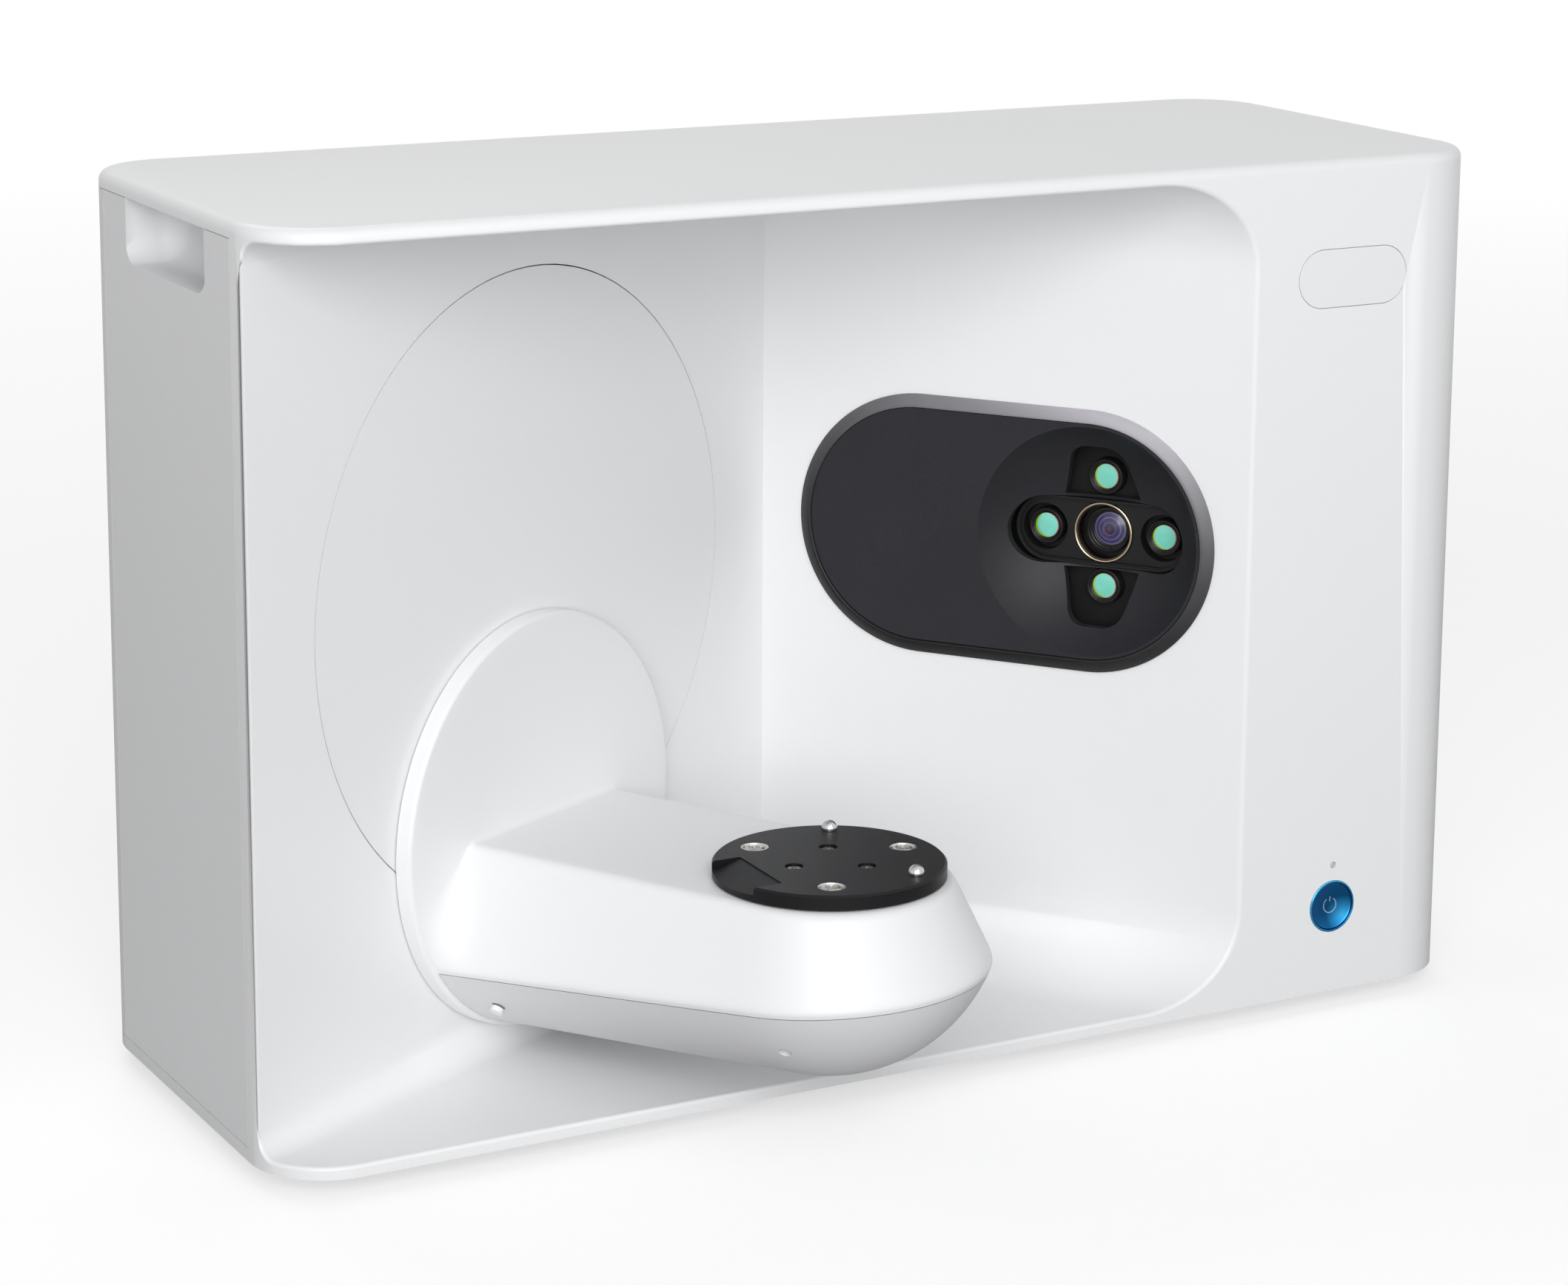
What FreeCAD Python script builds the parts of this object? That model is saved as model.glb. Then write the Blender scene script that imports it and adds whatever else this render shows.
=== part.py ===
"""Desktop 3D scanner: open scan chamber, swinging arm with a turntable, camera panel, inner drives.

Millimetres, +Z up. The origin is on the surface that the scanner stands on, at the middle of its footprint.
-Y is the front. Every sub-part is an object of one document, and its sizes are bound to the sheet "Sizes".
"""
import FreeCAD, Part
import math
import os
import re
import Sketcher
from FreeCAD import Placement, Rotation, Vector

# ---------------------------------------------------------------- driving dimensions
SIZES = {
    # casing
    "casing_width": 505.0,
    "casing_depth": 189.8,
    "casing_height": 333.1,
    "corner_radius": 30.0,
    "top_rounding": 4.0,
    "shell_wall": 3.0,
    "foot_height": 7.0,
    "foot_radius": 11.0,
    "foot_inset": 34.0,
    "base_lip": 4.6,
    "top_lip": 5.9,
    "seam_gap": 0.3,
    # scan chamber: two upright walls that meet in a vee
    "edge_setback": 23.2,
    "panel_setback": 31.6,
    "wall_angle": 27.6,
    "wall_run": 307.7,
    "column_width": 109.0,
    "left_blend": 8.0,
    "right_blend": 34.0,
    # side panel and its grip pocket
    "grip_front": 55.0,
    "grip_width": 82.0,
    "grip_height": 23.2,
    "grip_depth": 24.0,
    "grip_rounding": 9.0,
    # elevation disc and its drive
    "disc_run": 154.75,
    "disc_height": 178.7,
    "disc_radius": 119.5,
    "disc_gap": 0.5,
    "disc_plate": 4.0,
    "hub_radius": 38.0,
    "hub_bore": 30.0,
    "hub_flange": 52.0,
    "gear_module": 1.5,
    "gear_width": 8.0,
    "elevation_teeth": 96,
    "pinion_teeth": 16,
    "chassis_depth": 54.0,
    "chassis_plate_t": 6.0,
    "bearing_width": 12.0,
    "elevation_race": 16.0,
    "running_fit": 0.05,
    "motor_side": 42.0,
    "motor_length": 34.0,
    "flat_motor_length": 20.0,
    "motor_shaft_radius": 2.5,
    # arm
    "arm_drop": 88.7,
    "arm_disc_radius": 78.5,
    "arm_disc_plate": 6.5,
    "arm_disc_gap": 0.5,
    "arm_reach": 135.5,
    "hull_root_radius": 77.3,
    "nose_radius": 63.0,
    "nose_height": 82.5,
    "seam_height": 46.5,
    "ridge_height": 49.0,
    "ridge_rise": 0.065,
    "ridge_half_root": 65.0,
    "ridge_half_nose": 58.0,
    "arm_top_height": 91.0,
    "arm_top_half": 45.0,
    "arm_wall": 2.5,
    "arm_shaft_radius": 12.0,
    "arm_shaft_bore": 8.0,
    "arm_shaft_length": 38.0,
    "arm_boss_radius": 24.0,
    "arm_boss_length": 18.0,
    "arm_race": 7.0,
    "arm_teeth": 48,
    "beam_half": 30.0,
    "beam_plate_t": 4.0,
    "flange_radius": 58.0,
    # turntable
    "table_radius": 42.2,
    "table_thickness": 5.4,
    "table_gap": 0.6,
    "table_chamfer": 0.8,
    "spindle_radius": 6.0,
    "spindle_length": 44.0,
    "screw_circle": 31.0,
    "screw_head_radius": 5.2,
    "small_circle": 15.0,
    "small_hole_radius": 3.4,
    "pin_circle": 35.3,
    "ball_radius": 3.0,
    "ramp_distance": 27.4,
    "ramp_width": 33.7,
    "ramp_drop": 3.2,
    "pulley_radius": 15.0,
    "motor_pulley_radius": 6.0,
    "belt_width": 6.0,
    "belt_thickness": 1.4,
    "belt_span": 66.0,
    # camera panel in the right chamber wall
    "lens_run": 140.2,
    "lens_height": 181.1,
    "bezel_radius": 52.25,
    "bezel_run": 70.7,
    "bezel_rim": 5.2,
    "bezel_proud": 3.0,
    "panel_sink": 0.6,
    "dish_radius": 45.6,
    "dish_depth": 22.0,
    "dish_wall": 3.0,
    "optics_depth": 16.0,
    "bar_half_run": 23.0,
    "bar_radius": 13.4,
    "bar_thickness": 7.0,
    "camera_offset_x": 24.7,
    "camera_offset_z": 22.1,
    "barrel_radius": 7.1,
    "barrel_length": 26.0,
    "lens_radius": 5.0,
    "ring_radius": 12.2,
    "projector_lens_radius": 9.0,
    # front column fittings
    "fitting_inset": 64.7,
    "badge_drop": 45.7,
    "badge_half_run": 13.8,
    "badge_radius": 11.5,
    "badge_sink": 1.2,
    "light_height": 52.1,
    "light_radius": 1.4,
    "button_height": 35.2,
    "button_radius": 9.7,
    "button_rim": 0.9,
    "button_travel": 1.2,
    # rear cover fittings
    "inlet_height": 40.0,
    "inlet_inset": 70.0,
    "rocker_swing": 11.0,
    "fan_side": 60.0,
    "fan_depth": 15.0,
    "fan_inset": 62.0,
    "fan_drop": 71.1,
    "fan_hub_radius": 10.0,
    "fan_post_radius": 3.0,
    "fan_guard": 1.5,
    "blade_thickness": 1.4,
    "blade_width": 12.0,
    "blade_tilt": 42.0,
    "fan_blades": 7,
    "vent_rows": 9,
    "board_width": 150.0,
    "board_height": 120.0,
    "board_gap": 8.0,
    "board_inset": 252.5,
    "board_rise": 123.0,
    "board_sheet": 1.6,
    "chip_pitch": 5.0,
    "chip_height": 3.0,
    "standoff_radius": 3.0,
    "standoff_inset": 6.0,
    "supply_inset": 92.0,
    "supply_setback": 78.0,
    "supply_width": 76.0,
    "supply_length": 80.0,
    "supply_tall": 38.0,
    "vent_inset": 70.0,
    "vent_width": 90.0,
    "vent_pitch": 7.0,
    "inlet_width": 27.5,
    "inlet_tall": 20.0,
    "inlet_depth": 24.0,
    "rocker_width": 14.0,
    "rocker_pivot": 6.5,
    "rocker_depth": 16.0,
    "connector_side": 12.0,
    "rear_fit": 0.15,
    "cover_screw_radius": 2.8,
    "screw_inset": 40.0,
    "frame_clear": 9.0,
    "chassis_left": 105.0,
    "chassis_right": 62.0,
    "chassis_top": 290.0,
    "motor_pilot": 11.0,
    "arm_disc_rounding": 1.7,
    "gusset_half": 73.5,
    "gusset_height": 66.0,
    "gusset_run": 12.0,
    "flange_t": 3.8,
    "plug_radius": 2.4,
    "plug_root": 75.5,
    "plug_nose": 62.0,
    "pin_stem": 1.6,
    "bezel_body_radius": 50.6,
    "bezel_back": 5.0,
    "bezel_bevel_size": 2.0,
    "bracket_setback": 7.0,
    "bracket_half": 45.0,
    "bracket_plate_t": 3.0,
    "bracket_foot_run": 20.0,
    "rail_width": 16.0,
    "engine_setback": 44.0,
    "engine_half": 30.0,
    "engine_half_tall": 28.0,
    "engine_clear": 19.0,
    "fin_pitch": 8.0,
    "fin_thickness": 3.0,
    "fin_tall": 8.0,
    "camera_body_side": 20.0,
    "camera_body_length": 14.0,
    "cutout_half_bar": 15.8,
    "cutout_half_rim": 10.2,
    "cutout_web": 1.1,
    "bar_hole_clear": 2.3,
    "cutout_far": 36.2,
    "cutout_rounding": 8.5,
    "ring_proud": 1.0,
    "glass_thickness": 2.0,
    "web_clear": 4.0,
    "motor_pilot_length": 1.5,
    "motor_bore_depth": 24.5,
    "beam_drop": 20.0,
    "rocker_pin_radius": 1.5,
    "rocker_side_gap": 0.3,
    "fitting_wall": 1.5,
    "button_dish_radius": 60.0,
}

# ---------------------------------------------------------------- derived dimensions
DERIVED = {
    "half_width": "casing_width / 2",
    "floor_plane": "foot_height",
    "roof_plane": "foot_height + casing_height",
    "chamber_floor": "foot_height + base_lip",
    "chamber_roof": "foot_height + casing_height - top_lip",
    "ridge_nose": "foot_height + ridge_height + ridge_rise * (arm_reach + ridge_half_nose)",
    "nose_centre": "foot_height + nose_height",
    "nose_half": "sqrt(nose_radius ^ 2 - (nose_centre - ridge_nose) ^ 2)",
    "front_face": "(arm_reach * cos(wall_angle) + nose_half - disc_run * sin(wall_angle) - edge_setback"
                  " - casing_depth) / 2",
    "back_face": "front_face + casing_depth",
    "edge_line": "front_face + edge_setback",
    "panel_line": "front_face + panel_setback",
    "rear_line": "back_face - corner_radius",
    "axis_x": "disc_run * cos(wall_angle) - half_width",
    "axis_y": "edge_line + disc_run * sin(wall_angle)",
    "vee_x": "wall_run * cos(wall_angle) - half_width",
    "vee_y": "edge_line + wall_run * sin(wall_angle)",
    "column_edge": "half_width - column_width",
    "camera_angle": "atan2(front_face - vee_y; column_edge - vee_x) / 1 deg",
    "lens_x": "vee_x + lens_run * cos(camera_angle)",
    "lens_y": "vee_y + lens_run * sin(camera_angle)",
    "lens_z": "foot_height + lens_height",
    "disc_z": "foot_height + disc_height",
    "arm_z": "disc_z - arm_drop",
    "arm_top": "foot_height + arm_top_height",
    "ridge_tilt": "atan(ridge_rise) / 1 deg",
    "arm_fall": "atan((arm_z - nose_centre) / arm_reach) / 1 deg",
    "hull_span": "sqrt(arm_reach ^ 2 + (arm_z - nose_centre) ^ 2)",
    "table_top": "arm_top + table_gap + table_thickness",
    "elevation_pitch": "gear_module * elevation_teeth / 2",
    "pinion_pitch": "gear_module * pinion_teeth / 2",
    "arm_pitch": "gear_module * arm_teeth / 2",
    "elevation_gap": "elevation_pitch + pinion_pitch",
    "arm_gap": "arm_pitch + pinion_pitch",
    "elevation_gear_y": "chassis_depth - gear_width - 6",
    "arm_gear_y": "disc_plate + arm_boss_length + 4",
    "fitting_x": "half_width - fitting_inset",
    "grip_top": "chamber_roof - seam_gap",
    "frame_top": "foot_height + shell_wall + 2.1",
    "light_z": "foot_height + light_height",
    "button_z": "foot_height + button_height",
    "vent_z": "foot_height + casing_height * 0.62",
    "fan_x": "half_width - fan_inset",
    "fan_z": "roof_plane - fan_drop",
    "fan_bore": "fan_side / 2 - fan_guard",
    "badge_z": "roof_plane - badge_drop",
    "inlet_x": "half_width - inlet_inset",
    "rocker_x": "inlet_x - inlet_width / 2 - rocker_width / 2 - 8",
    "connector_x": "rocker_x - rocker_width / 2 - connector_side / 2 - 8",
    "inlet_z": "foot_height + inlet_height",
    "hub_length": "chassis_depth + bearing_width - disc_plate",
    "arm_bearing_y": "disc_plate + 4",
    "beam_z": "arm_top - beam_drop",
    "belt_z": "beam_z + beam_plate_t + 3",
    "table_motor_y": "belt_span - arm_reach",
    "panel_face": "panel_sink - bezel_proud",
    "camera_face": "optics_depth + 2",
    "cutout_near": "bar_radius + 0.2 + cutout_web",
    "ring_face": "optics_depth + 1.6 - ring_proud",
    "dish_ball_radius": "(dish_radius ^ 2 + dish_depth ^ 2) / (2 * dish_depth)",
    "bracket_y": "optics_depth + bracket_setback",
    "engine_y": "optics_depth + engine_setback",
    "engine_end": "(half_width - shell_wall - engine_clear - lens_x - engine_half * cos(camera_angle))"
                  " / sin(-camera_angle)",
    "engine_length": "engine_end - engine_y",
    "board_x": "board_inset - half_width",
    "board_z": "foot_height + board_rise",
    "supply_x": "half_width - supply_inset",
    "supply_y": "front_face + supply_setback",
}

doc = FreeCAD.newDocument("DesktopScanner")
sheet = doc.addObject("Spreadsheet::Sheet", "Sizes")
CELLS = [(name, str(value)) for name, value in SIZES.items()]
CELLS += [(name, "=" + text) for name, text in DERIVED.items()]
for row, (name, content) in enumerate(CELLS, 1):
    sheet.set("A%d" % row, name)
    sheet.set("B%d" % row, content)
    sheet.setAlias("B%d" % row, name)
doc.recompute()
NAMES = {name for name, content in CELLS}
trial = doc.addObject("Spreadsheet::Sheet", "Trial")


def size(name):
    """A size read from the sheet, as a plain number."""
    return float(sheet.get(name))


def formula(text):
    """Point every size name in a formula at the sheet."""
    return re.sub(r"[a-z_]+", lambda word: "Sizes." + word.group() if word.group() in NAMES else word.group(),
                  str(text))


def value(text):
    """What a formula comes to, for the first guess of a sketch."""
    trial.set("A1", "=" + formula(text))
    trial.recompute()
    return float(trial.get("A1"))


def bind(thing, **formulas):
    for name, text in formulas.items():
        thing.setExpression(name.replace("__", "."), formula(text))


# ---------------------------------------------------------------- small builders
TURNS = {
    "z": Rotation(),
    "y": Rotation(Vector(1, 0, 0), -90),
    "-y": Rotation(Vector(1, 0, 0), 90),
    "x": Rotation(Vector(0, 1, 0), 90),
}


def put(thing, at, along="z"):
    """Place an object by three formulas, its own +Z turned along an axis."""
    thing.Placement = Placement(Vector(), TURNS[along])
    bind(thing, Placement__Base__x=at[0], Placement__Base__y=at[1], Placement__Base__z=at[2])
    return thing


def block(name, at, dims):
    box = doc.addObject("Part::Box", name)
    bind(box, Length=dims[0], Width=dims[1], Height=dims[2])
    return put(box, at)


def rod(name, radius, at, length, along="z"):
    bar = doc.addObject("Part::Cylinder", name)
    bind(bar, Radius=radius, Height=length)
    return put(bar, at, along)


def cone(name, radii, at, length, along="z"):
    frustum = doc.addObject("Part::Cone", name)
    bind(frustum, Radius1=radii[0], Radius2=radii[1], Height=length)
    return put(frustum, at, along)


def ball(name, radius, at):
    sphere = doc.addObject("Part::Sphere", name)
    bind(sphere, Radius=radius)
    return put(sphere, at)


def fuse(name, *shapes):
    joined = doc.addObject("Part::MultiFuse", name)
    joined.Shapes = list(shapes)
    return joined


def cut(name, base, *tools):
    taken = doc.addObject("Part::Cut", name)
    taken.Base = base
    taken.Tool = tools[0] if len(tools) == 1 else fuse(name + "_tools", *tools)
    return taken


def common(name, one, other):
    shared = doc.addObject("Part::Common", name)
    shared.Base, shared.Tool = one, other
    return shared


def key_recess(name, at, radius, along="z"):
    """The six-sided hole for a hexagon key."""
    hexagon = doc.addObject("Part::Prism", name)
    hexagon.Polygon = 6
    bind(hexagon, Circumradius=radius, Height="4")
    return put(hexagon, at, along)


def tube(name, outer, inner, at, length, along="z"):
    return cut(name, rod(name + "_outer", outer, at, length, along), rod(name + "_bore", inner, at, length, along))


def near(found, wanted):
    return abs(found - wanted) < 0.01


def is_upright(edge):
    ends = edge.Vertexes
    return near(ends[0].X, ends[-1].X) and near(ends[0].Y, ends[-1].Y) and not near(ends[0].Z, ends[-1].Z)


def is_level(edge):
    """True of a straight edge along X."""
    return near(edge.Vertexes[0].Z, edge.Vertexes[-1].Z) and near(edge.Vertexes[0].Y, edge.Vertexes[-1].Y)


def round_edges(name, base, radius, test, kind="Part::Fillet"):
    """Round (or chamfer) the edges that pass a test."""
    doc.recompute()
    rounded = doc.addObject(kind, name)
    rounded.Base = base
    rounded.Edges = [(i, radius, radius) for i, edge in enumerate(base.Shape.Edges, 1) if test(edge)]
    return rounded


PLANES = {"xy": "XY_Plane", "xz": "XZ_Plane", "yz": "YZ_Plane"}


def origin_plane(body, plane):
    return next(f for f in body.Origin.OriginFeatures if f.Role == PLANES[plane])


def pin(sketch, index, point, at):
    """Hold one sketch point at two formulas, measured from the origin."""
    for kind, text in (("DistanceX", at[0]), ("DistanceY", at[1])):
        number = sketch.addConstraint(Sketcher.Constraint(kind, -1, 1, index, point, value(text)))
        sketch.setExpression("Constraints[%d]" % number, formula(text))


def draw_polygon(sketch, points):
    spots = [Vector(value(x), value(y), 0) for x, y in points]
    first = len(sketch.Geometry)
    for i, spot in enumerate(spots):
        sketch.addGeometry(Part.LineSegment(spot, spots[(i + 1) % len(spots)]), False)
    for i, point in enumerate(points):
        before = first + (i - 1) % len(points)
        sketch.addConstraint(Sketcher.Constraint("Coincident", before, 2, first + i, 1))
        pin(sketch, first + i, 1, point)


def draw_slot(sketch, left, right, y, radius):
    """A stadium between two centres on a level line."""
    x0, x1, y0, r = value(left), value(right), value(y), value(radius)
    normal = Vector(0, 0, 1)
    first = len(sketch.Geometry)
    sketch.addGeometry(Part.ArcOfCircle(Part.Circle(Vector(x1, y0, 0), normal, r), -math.pi / 2, math.pi / 2), False)
    sketch.addGeometry(Part.LineSegment(Vector(x1, y0 + r, 0), Vector(x0, y0 + r, 0)), False)
    sketch.addGeometry(Part.ArcOfCircle(Part.Circle(Vector(x0, y0, 0), normal, r), math.pi / 2, 1.5 * math.pi), False)
    sketch.addGeometry(Part.LineSegment(Vector(x0, y0 - r, 0), Vector(x1, y0 - r, 0)), False)
    for one, other in ((0, 1), (1, 2), (2, 3), (3, 0)):
        sketch.addConstraint(Sketcher.Constraint("Tangent", first + one, 2, first + other, 1))
    pin(sketch, first, 3, (right, y))
    pin(sketch, first + 2, 3, (left, y))
    number = sketch.addConstraint(Sketcher.Constraint("Radius", first, r))
    sketch.setExpression("Constraints[%d]" % number, formula(radius))
    sketch.addConstraint(Sketcher.Constraint("Equal", first, first + 2))


def draw_bullet(sketch, root_half, nose_half, reach):
    """An arm outline: root at y = 0, sides that run to a round nose centred at y = -reach."""
    w0, w1, y1 = value(root_half), value(nose_half), -value(reach)
    sketch.addGeometry(Part.LineSegment(Vector(w0, 0, 0), Vector(-w0, 0, 0)), False)
    sketch.addGeometry(Part.LineSegment(Vector(-w0, 0, 0), Vector(-w1, y1, 0)), False)
    nose = Part.Circle(Vector(0, y1, 0), Vector(0, 0, 1), w1)
    sketch.addGeometry(Part.ArcOfCircle(nose, math.pi, 2 * math.pi), False)
    sketch.addGeometry(Part.LineSegment(Vector(w1, y1, 0), Vector(w0, 0, 0)), False)
    pin(sketch, 0, 1, (root_half, "0"))
    pin(sketch, 0, 2, ("-(%s)" % root_half, "0"))
    sketch.addConstraint(Sketcher.Constraint("Coincident", 0, 2, 1, 1))
    sketch.addConstraint(Sketcher.Constraint("Coincident", 1, 2, 2, 1))
    sketch.addConstraint(Sketcher.Constraint("Coincident", 2, 2, 3, 1))
    sketch.addConstraint(Sketcher.Constraint("Coincident", 3, 2, 0, 1))
    pin(sketch, 2, 3, ("0", "-(%s)" % reach))
    sketch.addConstraint(Sketcher.Constraint("Horizontal", 2, 3, 2, 1))
    sketch.addConstraint(Sketcher.Constraint("Horizontal", 2, 3, 2, 2))
    number = sketch.addConstraint(Sketcher.Constraint("Radius", 2, w1))
    sketch.setExpression("Constraints[%d]" % number, formula(nose_half))


def new_sketch(body, plane, draw, *shape):
    sketch = body.newObject("Sketcher::SketchObject", body.Name + "_sketch")
    sketch.AttachmentSupport = [(origin_plane(body, plane), "")]
    sketch.MapMode = "FlatFace"
    draw(sketch, *shape)
    return sketch


def prism(name, plane, start, length, draw, *shape):
    """A padded sketch: up from "xy", towards +Y from "xz", towards +X from "yz"."""
    body = doc.addObject("PartDesign::Body", name)
    sketch = new_sketch(body, plane, draw, *shape)
    pad = body.newObject("PartDesign::Pad", name + "_pad")
    pad.Profile = sketch
    pad.Reversed = plane == "xz"
    bind(pad, Length=length)
    base = {"xy": ("0", "0", start), "xz": ("0", start, "0"), "yz": (start, "0", "0")}[plane]
    return put(body, base)


# ---------------------------------------------------------------- frames and finished sub-parts
FRAMES = {
    "wall": ("axis_x", "axis_y", "0", "wall_angle"),
    "camera": ("lens_x", "lens_y", "lens_z", "camera_angle"),
}
PARTS = []


def in_frame(thing, frame, height=None):
    """A thing modelled in a wall's frame, turned and moved into the casing's."""
    group = doc.addObject("Part::Compound", "placed")
    group.Links = thing if isinstance(thing, list) else [thing]
    x, y, z, turn = FRAMES[frame]
    group.Placement = Placement(Vector(), Rotation(Vector(0, 0, 1), 1))
    bind(group, Placement__Base__x=x, Placement__Base__y=y, Placement__Base__z=height or z,
         Placement__Rotation__Angle=turn)
    return group


def part(label, things, frame=None):
    """Finish a sub-part: one solid, or a group of like solids, in the casing's frame or a wall's."""
    if frame:
        things = in_frame(things, frame)
    elif isinstance(things, list):
        group = doc.addObject("Part::Compound", "group")
        group.Links = things
        things = group
    things.Label = label
    PARTS.append(things)


# ---------------------------------------------------------------- casing
def rounded_block(name, inset, bottom, top):
    """The casing's outline, drawn in by an inset, between two heights."""
    box = block(name + "_box", ("(%s) - half_width" % inset, "front_face + (%s)" % inset, bottom),
                ("casing_width - 2 * (%s)" % inset, "casing_depth - 2 * (%s)" % inset, "(%s) - (%s)" % (top, bottom)))
    return round_edges(name, box, size("corner_radius") - value(inset), is_upright)


def chamber(name, grow):
    """The scan chamber's space: what lies in front of both walls, with rounded floor and roof corners."""
    span = "(casing_width + casing_depth)"
    sides = []
    for blend, frame in (("left_blend", "wall"), ("right_blend", "camera")):
        box = block("%s_%s_box" % (name, frame), ("-" + span, "%s - %s" % (grow, span), "chamber_floor - " + grow),
                    ("2 * " + span, span, "chamber_roof - chamber_floor + 2 * " + grow))
        along_wall = lambda edge: is_level(edge) and all(near(v.Y, value(grow)) for v in edge.Vertexes)
        rounded = round_edges("%s_%s" % (name, frame), box, size(blend) + value(grow), along_wall)
        sides.append(in_frame(rounded, frame, "0"))
    return common(name, *sides)


def make_front_shell():
    """Top plate, base plate, column, left strip and both chamber walls, moulded in one."""
    roof = size("roof_plane")
    outer = round_edges("casing_outer", rounded_block("casing_block", "0", "floor_plane", "roof_plane"),
                        size("top_rounding"), lambda edge: all(near(v.Z, roof) for v in edge.Vertexes))
    core = rounded_block("casing_core", "shell_wall", "floor_plane + shell_wall", "roof_plane - shell_wall")
    hollow = cut("casing_hollow", core, chamber("chamber_lining", "shell_wall"))
    sleeve = block("sleeve_zone", ("-half_width - 5", "panel_line", "chamber_floor + seam_gap"),
                   ("casing_width + 10", "casing_depth", "chamber_roof - chamber_floor - seam_gap"))
    outer_walls = cut("sleeve_walls", sleeve, rounded_block("sleeve_core", "shell_wall", "floor_plane", "roof_plane"))
    disc_hole = rod("disc_hole", "disc_radius + disc_gap", ("0", "-20", "disc_z"), "40", "y")
    panel_hole = prism("panel_hole", "xz", "-20", "40", draw_slot, "-bezel_run", "0", "0", "bezel_body_radius + 0.15")
    badge_hole = prism("badge_hole", "xz", "front_face - 1", "badge_sink + 1", draw_slot,
                       "fitting_x - badge_half_run", "fitting_x + badge_half_run", "badge_z", "badge_radius")
    light_hole = rod("light_hole", "light_radius", ("fitting_x", "front_face - 5", "light_z"), "20", "y")
    button_hole = rod("button_hole", "button_radius + button_rim", ("fitting_x", "front_face - 5", "button_z"),
                      "20", "y")
    part("front_shell", cut("front_shell_solid", outer, hollow, chamber("chamber_space", "0"), outer_walls,
                            in_frame(disc_hole, "wall"), in_frame(panel_hole, "camera"), badge_hole, light_hole,
                            button_hole))


def make_side_panel(label, side):
    """A flat side panel with a scooped grip pocket under the top band; side is -1 or 1."""
    def slab(name, shallow, deep, front, back, low, high):
        """A box between two depths behind the panel's outer face."""
        left = "half_width - (%s)" % deep if side > 0 else "(%s) - half_width" % shallow
        return block(name, (left, front, low), ("(%s) - (%s)" % (deep, shallow), "(%s) - (%s)" % (back, front),
                                                "(%s) - (%s)" % (high, low)))

    low, high, pocket_low = "chamber_floor + 2 * seam_gap", "grip_top", "grip_top - grip_height"
    front, back = "front_face + grip_front", "front_face + grip_front + grip_width"
    sheet_wall = slab(label + "_sheet", "0", "shell_wall", "panel_line + seam_gap", "rear_line - seam_gap / 2",
                      low, high)
    cup = slab(label + "_cup", "shell_wall / 2", "grip_depth", front + " - shell_wall", back + " + shell_wall",
               pocket_low + " - shell_wall", high)
    scoop = slab(label + "_scoop", "-5", "grip_depth - shell_wall", front, back, pocket_low, high + " + 5")
    doc.recompute()
    floor, deep = value(pocket_low), side * (value("half_width - grip_depth + shell_wall"))

    def inside_pocket(edge):
        """True of the pocket's upright edges and of its floor edges, except the one at the panel's face."""
        ends = edge.Vertexes
        on_floor = all(near(v.Z, floor) for v in ends) and not all(abs(v.X) > abs(deep) + 1 for v in ends)
        return on_floor or is_upright(edge)

    soft = round_edges(label + "_soft", scoop, size("grip_rounding"), inside_pocket)
    part(label, cut(label + "_solid", fuse(label + "_blank", sheet_wall, cup), soft))


def make_rear_cover():
    """The back wall with its two round corners, vents, fan grille and holes for the fittings."""
    low, high = "chamber_floor + 2 * seam_gap", "chamber_roof - seam_gap"
    wall = cut("rear_wall", rounded_block("rear_outer", "0", low, high),
               rounded_block("rear_inner", "shell_wall", low + " - 1", high + " + 1"))
    behind = block("rear_zone", ("-half_width - 1", "rear_line + seam_gap / 2", "0"),
                   ("casing_width + 2", "casing_depth", "roof_plane"))
    holes = []
    for i in range(int(size("vent_rows"))):
        holes.append(block("vent_%d" % i, ("-half_width + vent_inset", "back_face - 10",
                                           "vent_z + %d * vent_pitch" % i), ("vent_width", "20", "vent_pitch / 2")))
    for i in range(GRILLE_ROWS):
        offset = i - (GRILLE_ROWS - 1) / 2
        reach = "sqrt(fan_bore ^ 2 - (%g * vent_pitch) ^ 2)" % abs(offset)
        holes.append(block("grille_%d" % i, ("fan_x - %s" % reach, "back_face - 10",
                                             "fan_z + %g * vent_pitch - vent_pitch / 4" % offset),
                           ("2 * %s" % reach, "20", "vent_pitch / 2")))
    for name, x, width, height in REAR_FITTINGS:
        holes.append(block(name + "_hole", ("%s - %s / 2 - rear_fit" % (x, width), "back_face - 10",
                                            "inlet_z - %s / 2 - rear_fit" % height),
                           (width + " + 2 * rear_fit", "20", height + " + 2 * rear_fit")))
    for i, (x, z) in enumerate(COVER_SCREWS):
        holes.append(rod("cover_screw_hole_%d" % i, "cover_screw_radius + rear_fit", (x, "back_face - 10", z),
                         "20", "y"))
    part("rear_cover", cut("rear_cover_solid", common("rear_shell", wall, behind), *holes))
    part("rear_cover_screws", [
        cut("cover_screw_%d" % i, rod("cover_screw_head_%d" % i, "cover_screw_radius",
                                      (x, "back_face - shell_wall", z), "shell_wall - 0.4", "y"),
            key_recess("cover_screw_hex_%d" % i, (x, "back_face - 2", z), "1.2", "y"))
        for i, (x, z) in enumerate(COVER_SCREWS)])


GRILLE_ROWS = 7
COVER_SCREWS = [(x, z) for x in ("-half_width + screw_inset", "0", "half_width - screw_inset")
                for z in ("chamber_floor + screw_inset / 2", "chamber_roof - screw_inset / 2")]
REAR_FITTINGS = [("inlet", "inlet_x", "inlet_width", "inlet_tall"), ("rocker", "rocker_x", "rocker_width",
                 "inlet_tall"), ("connector", "connector_x", "connector_side", "connector_side")]


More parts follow.
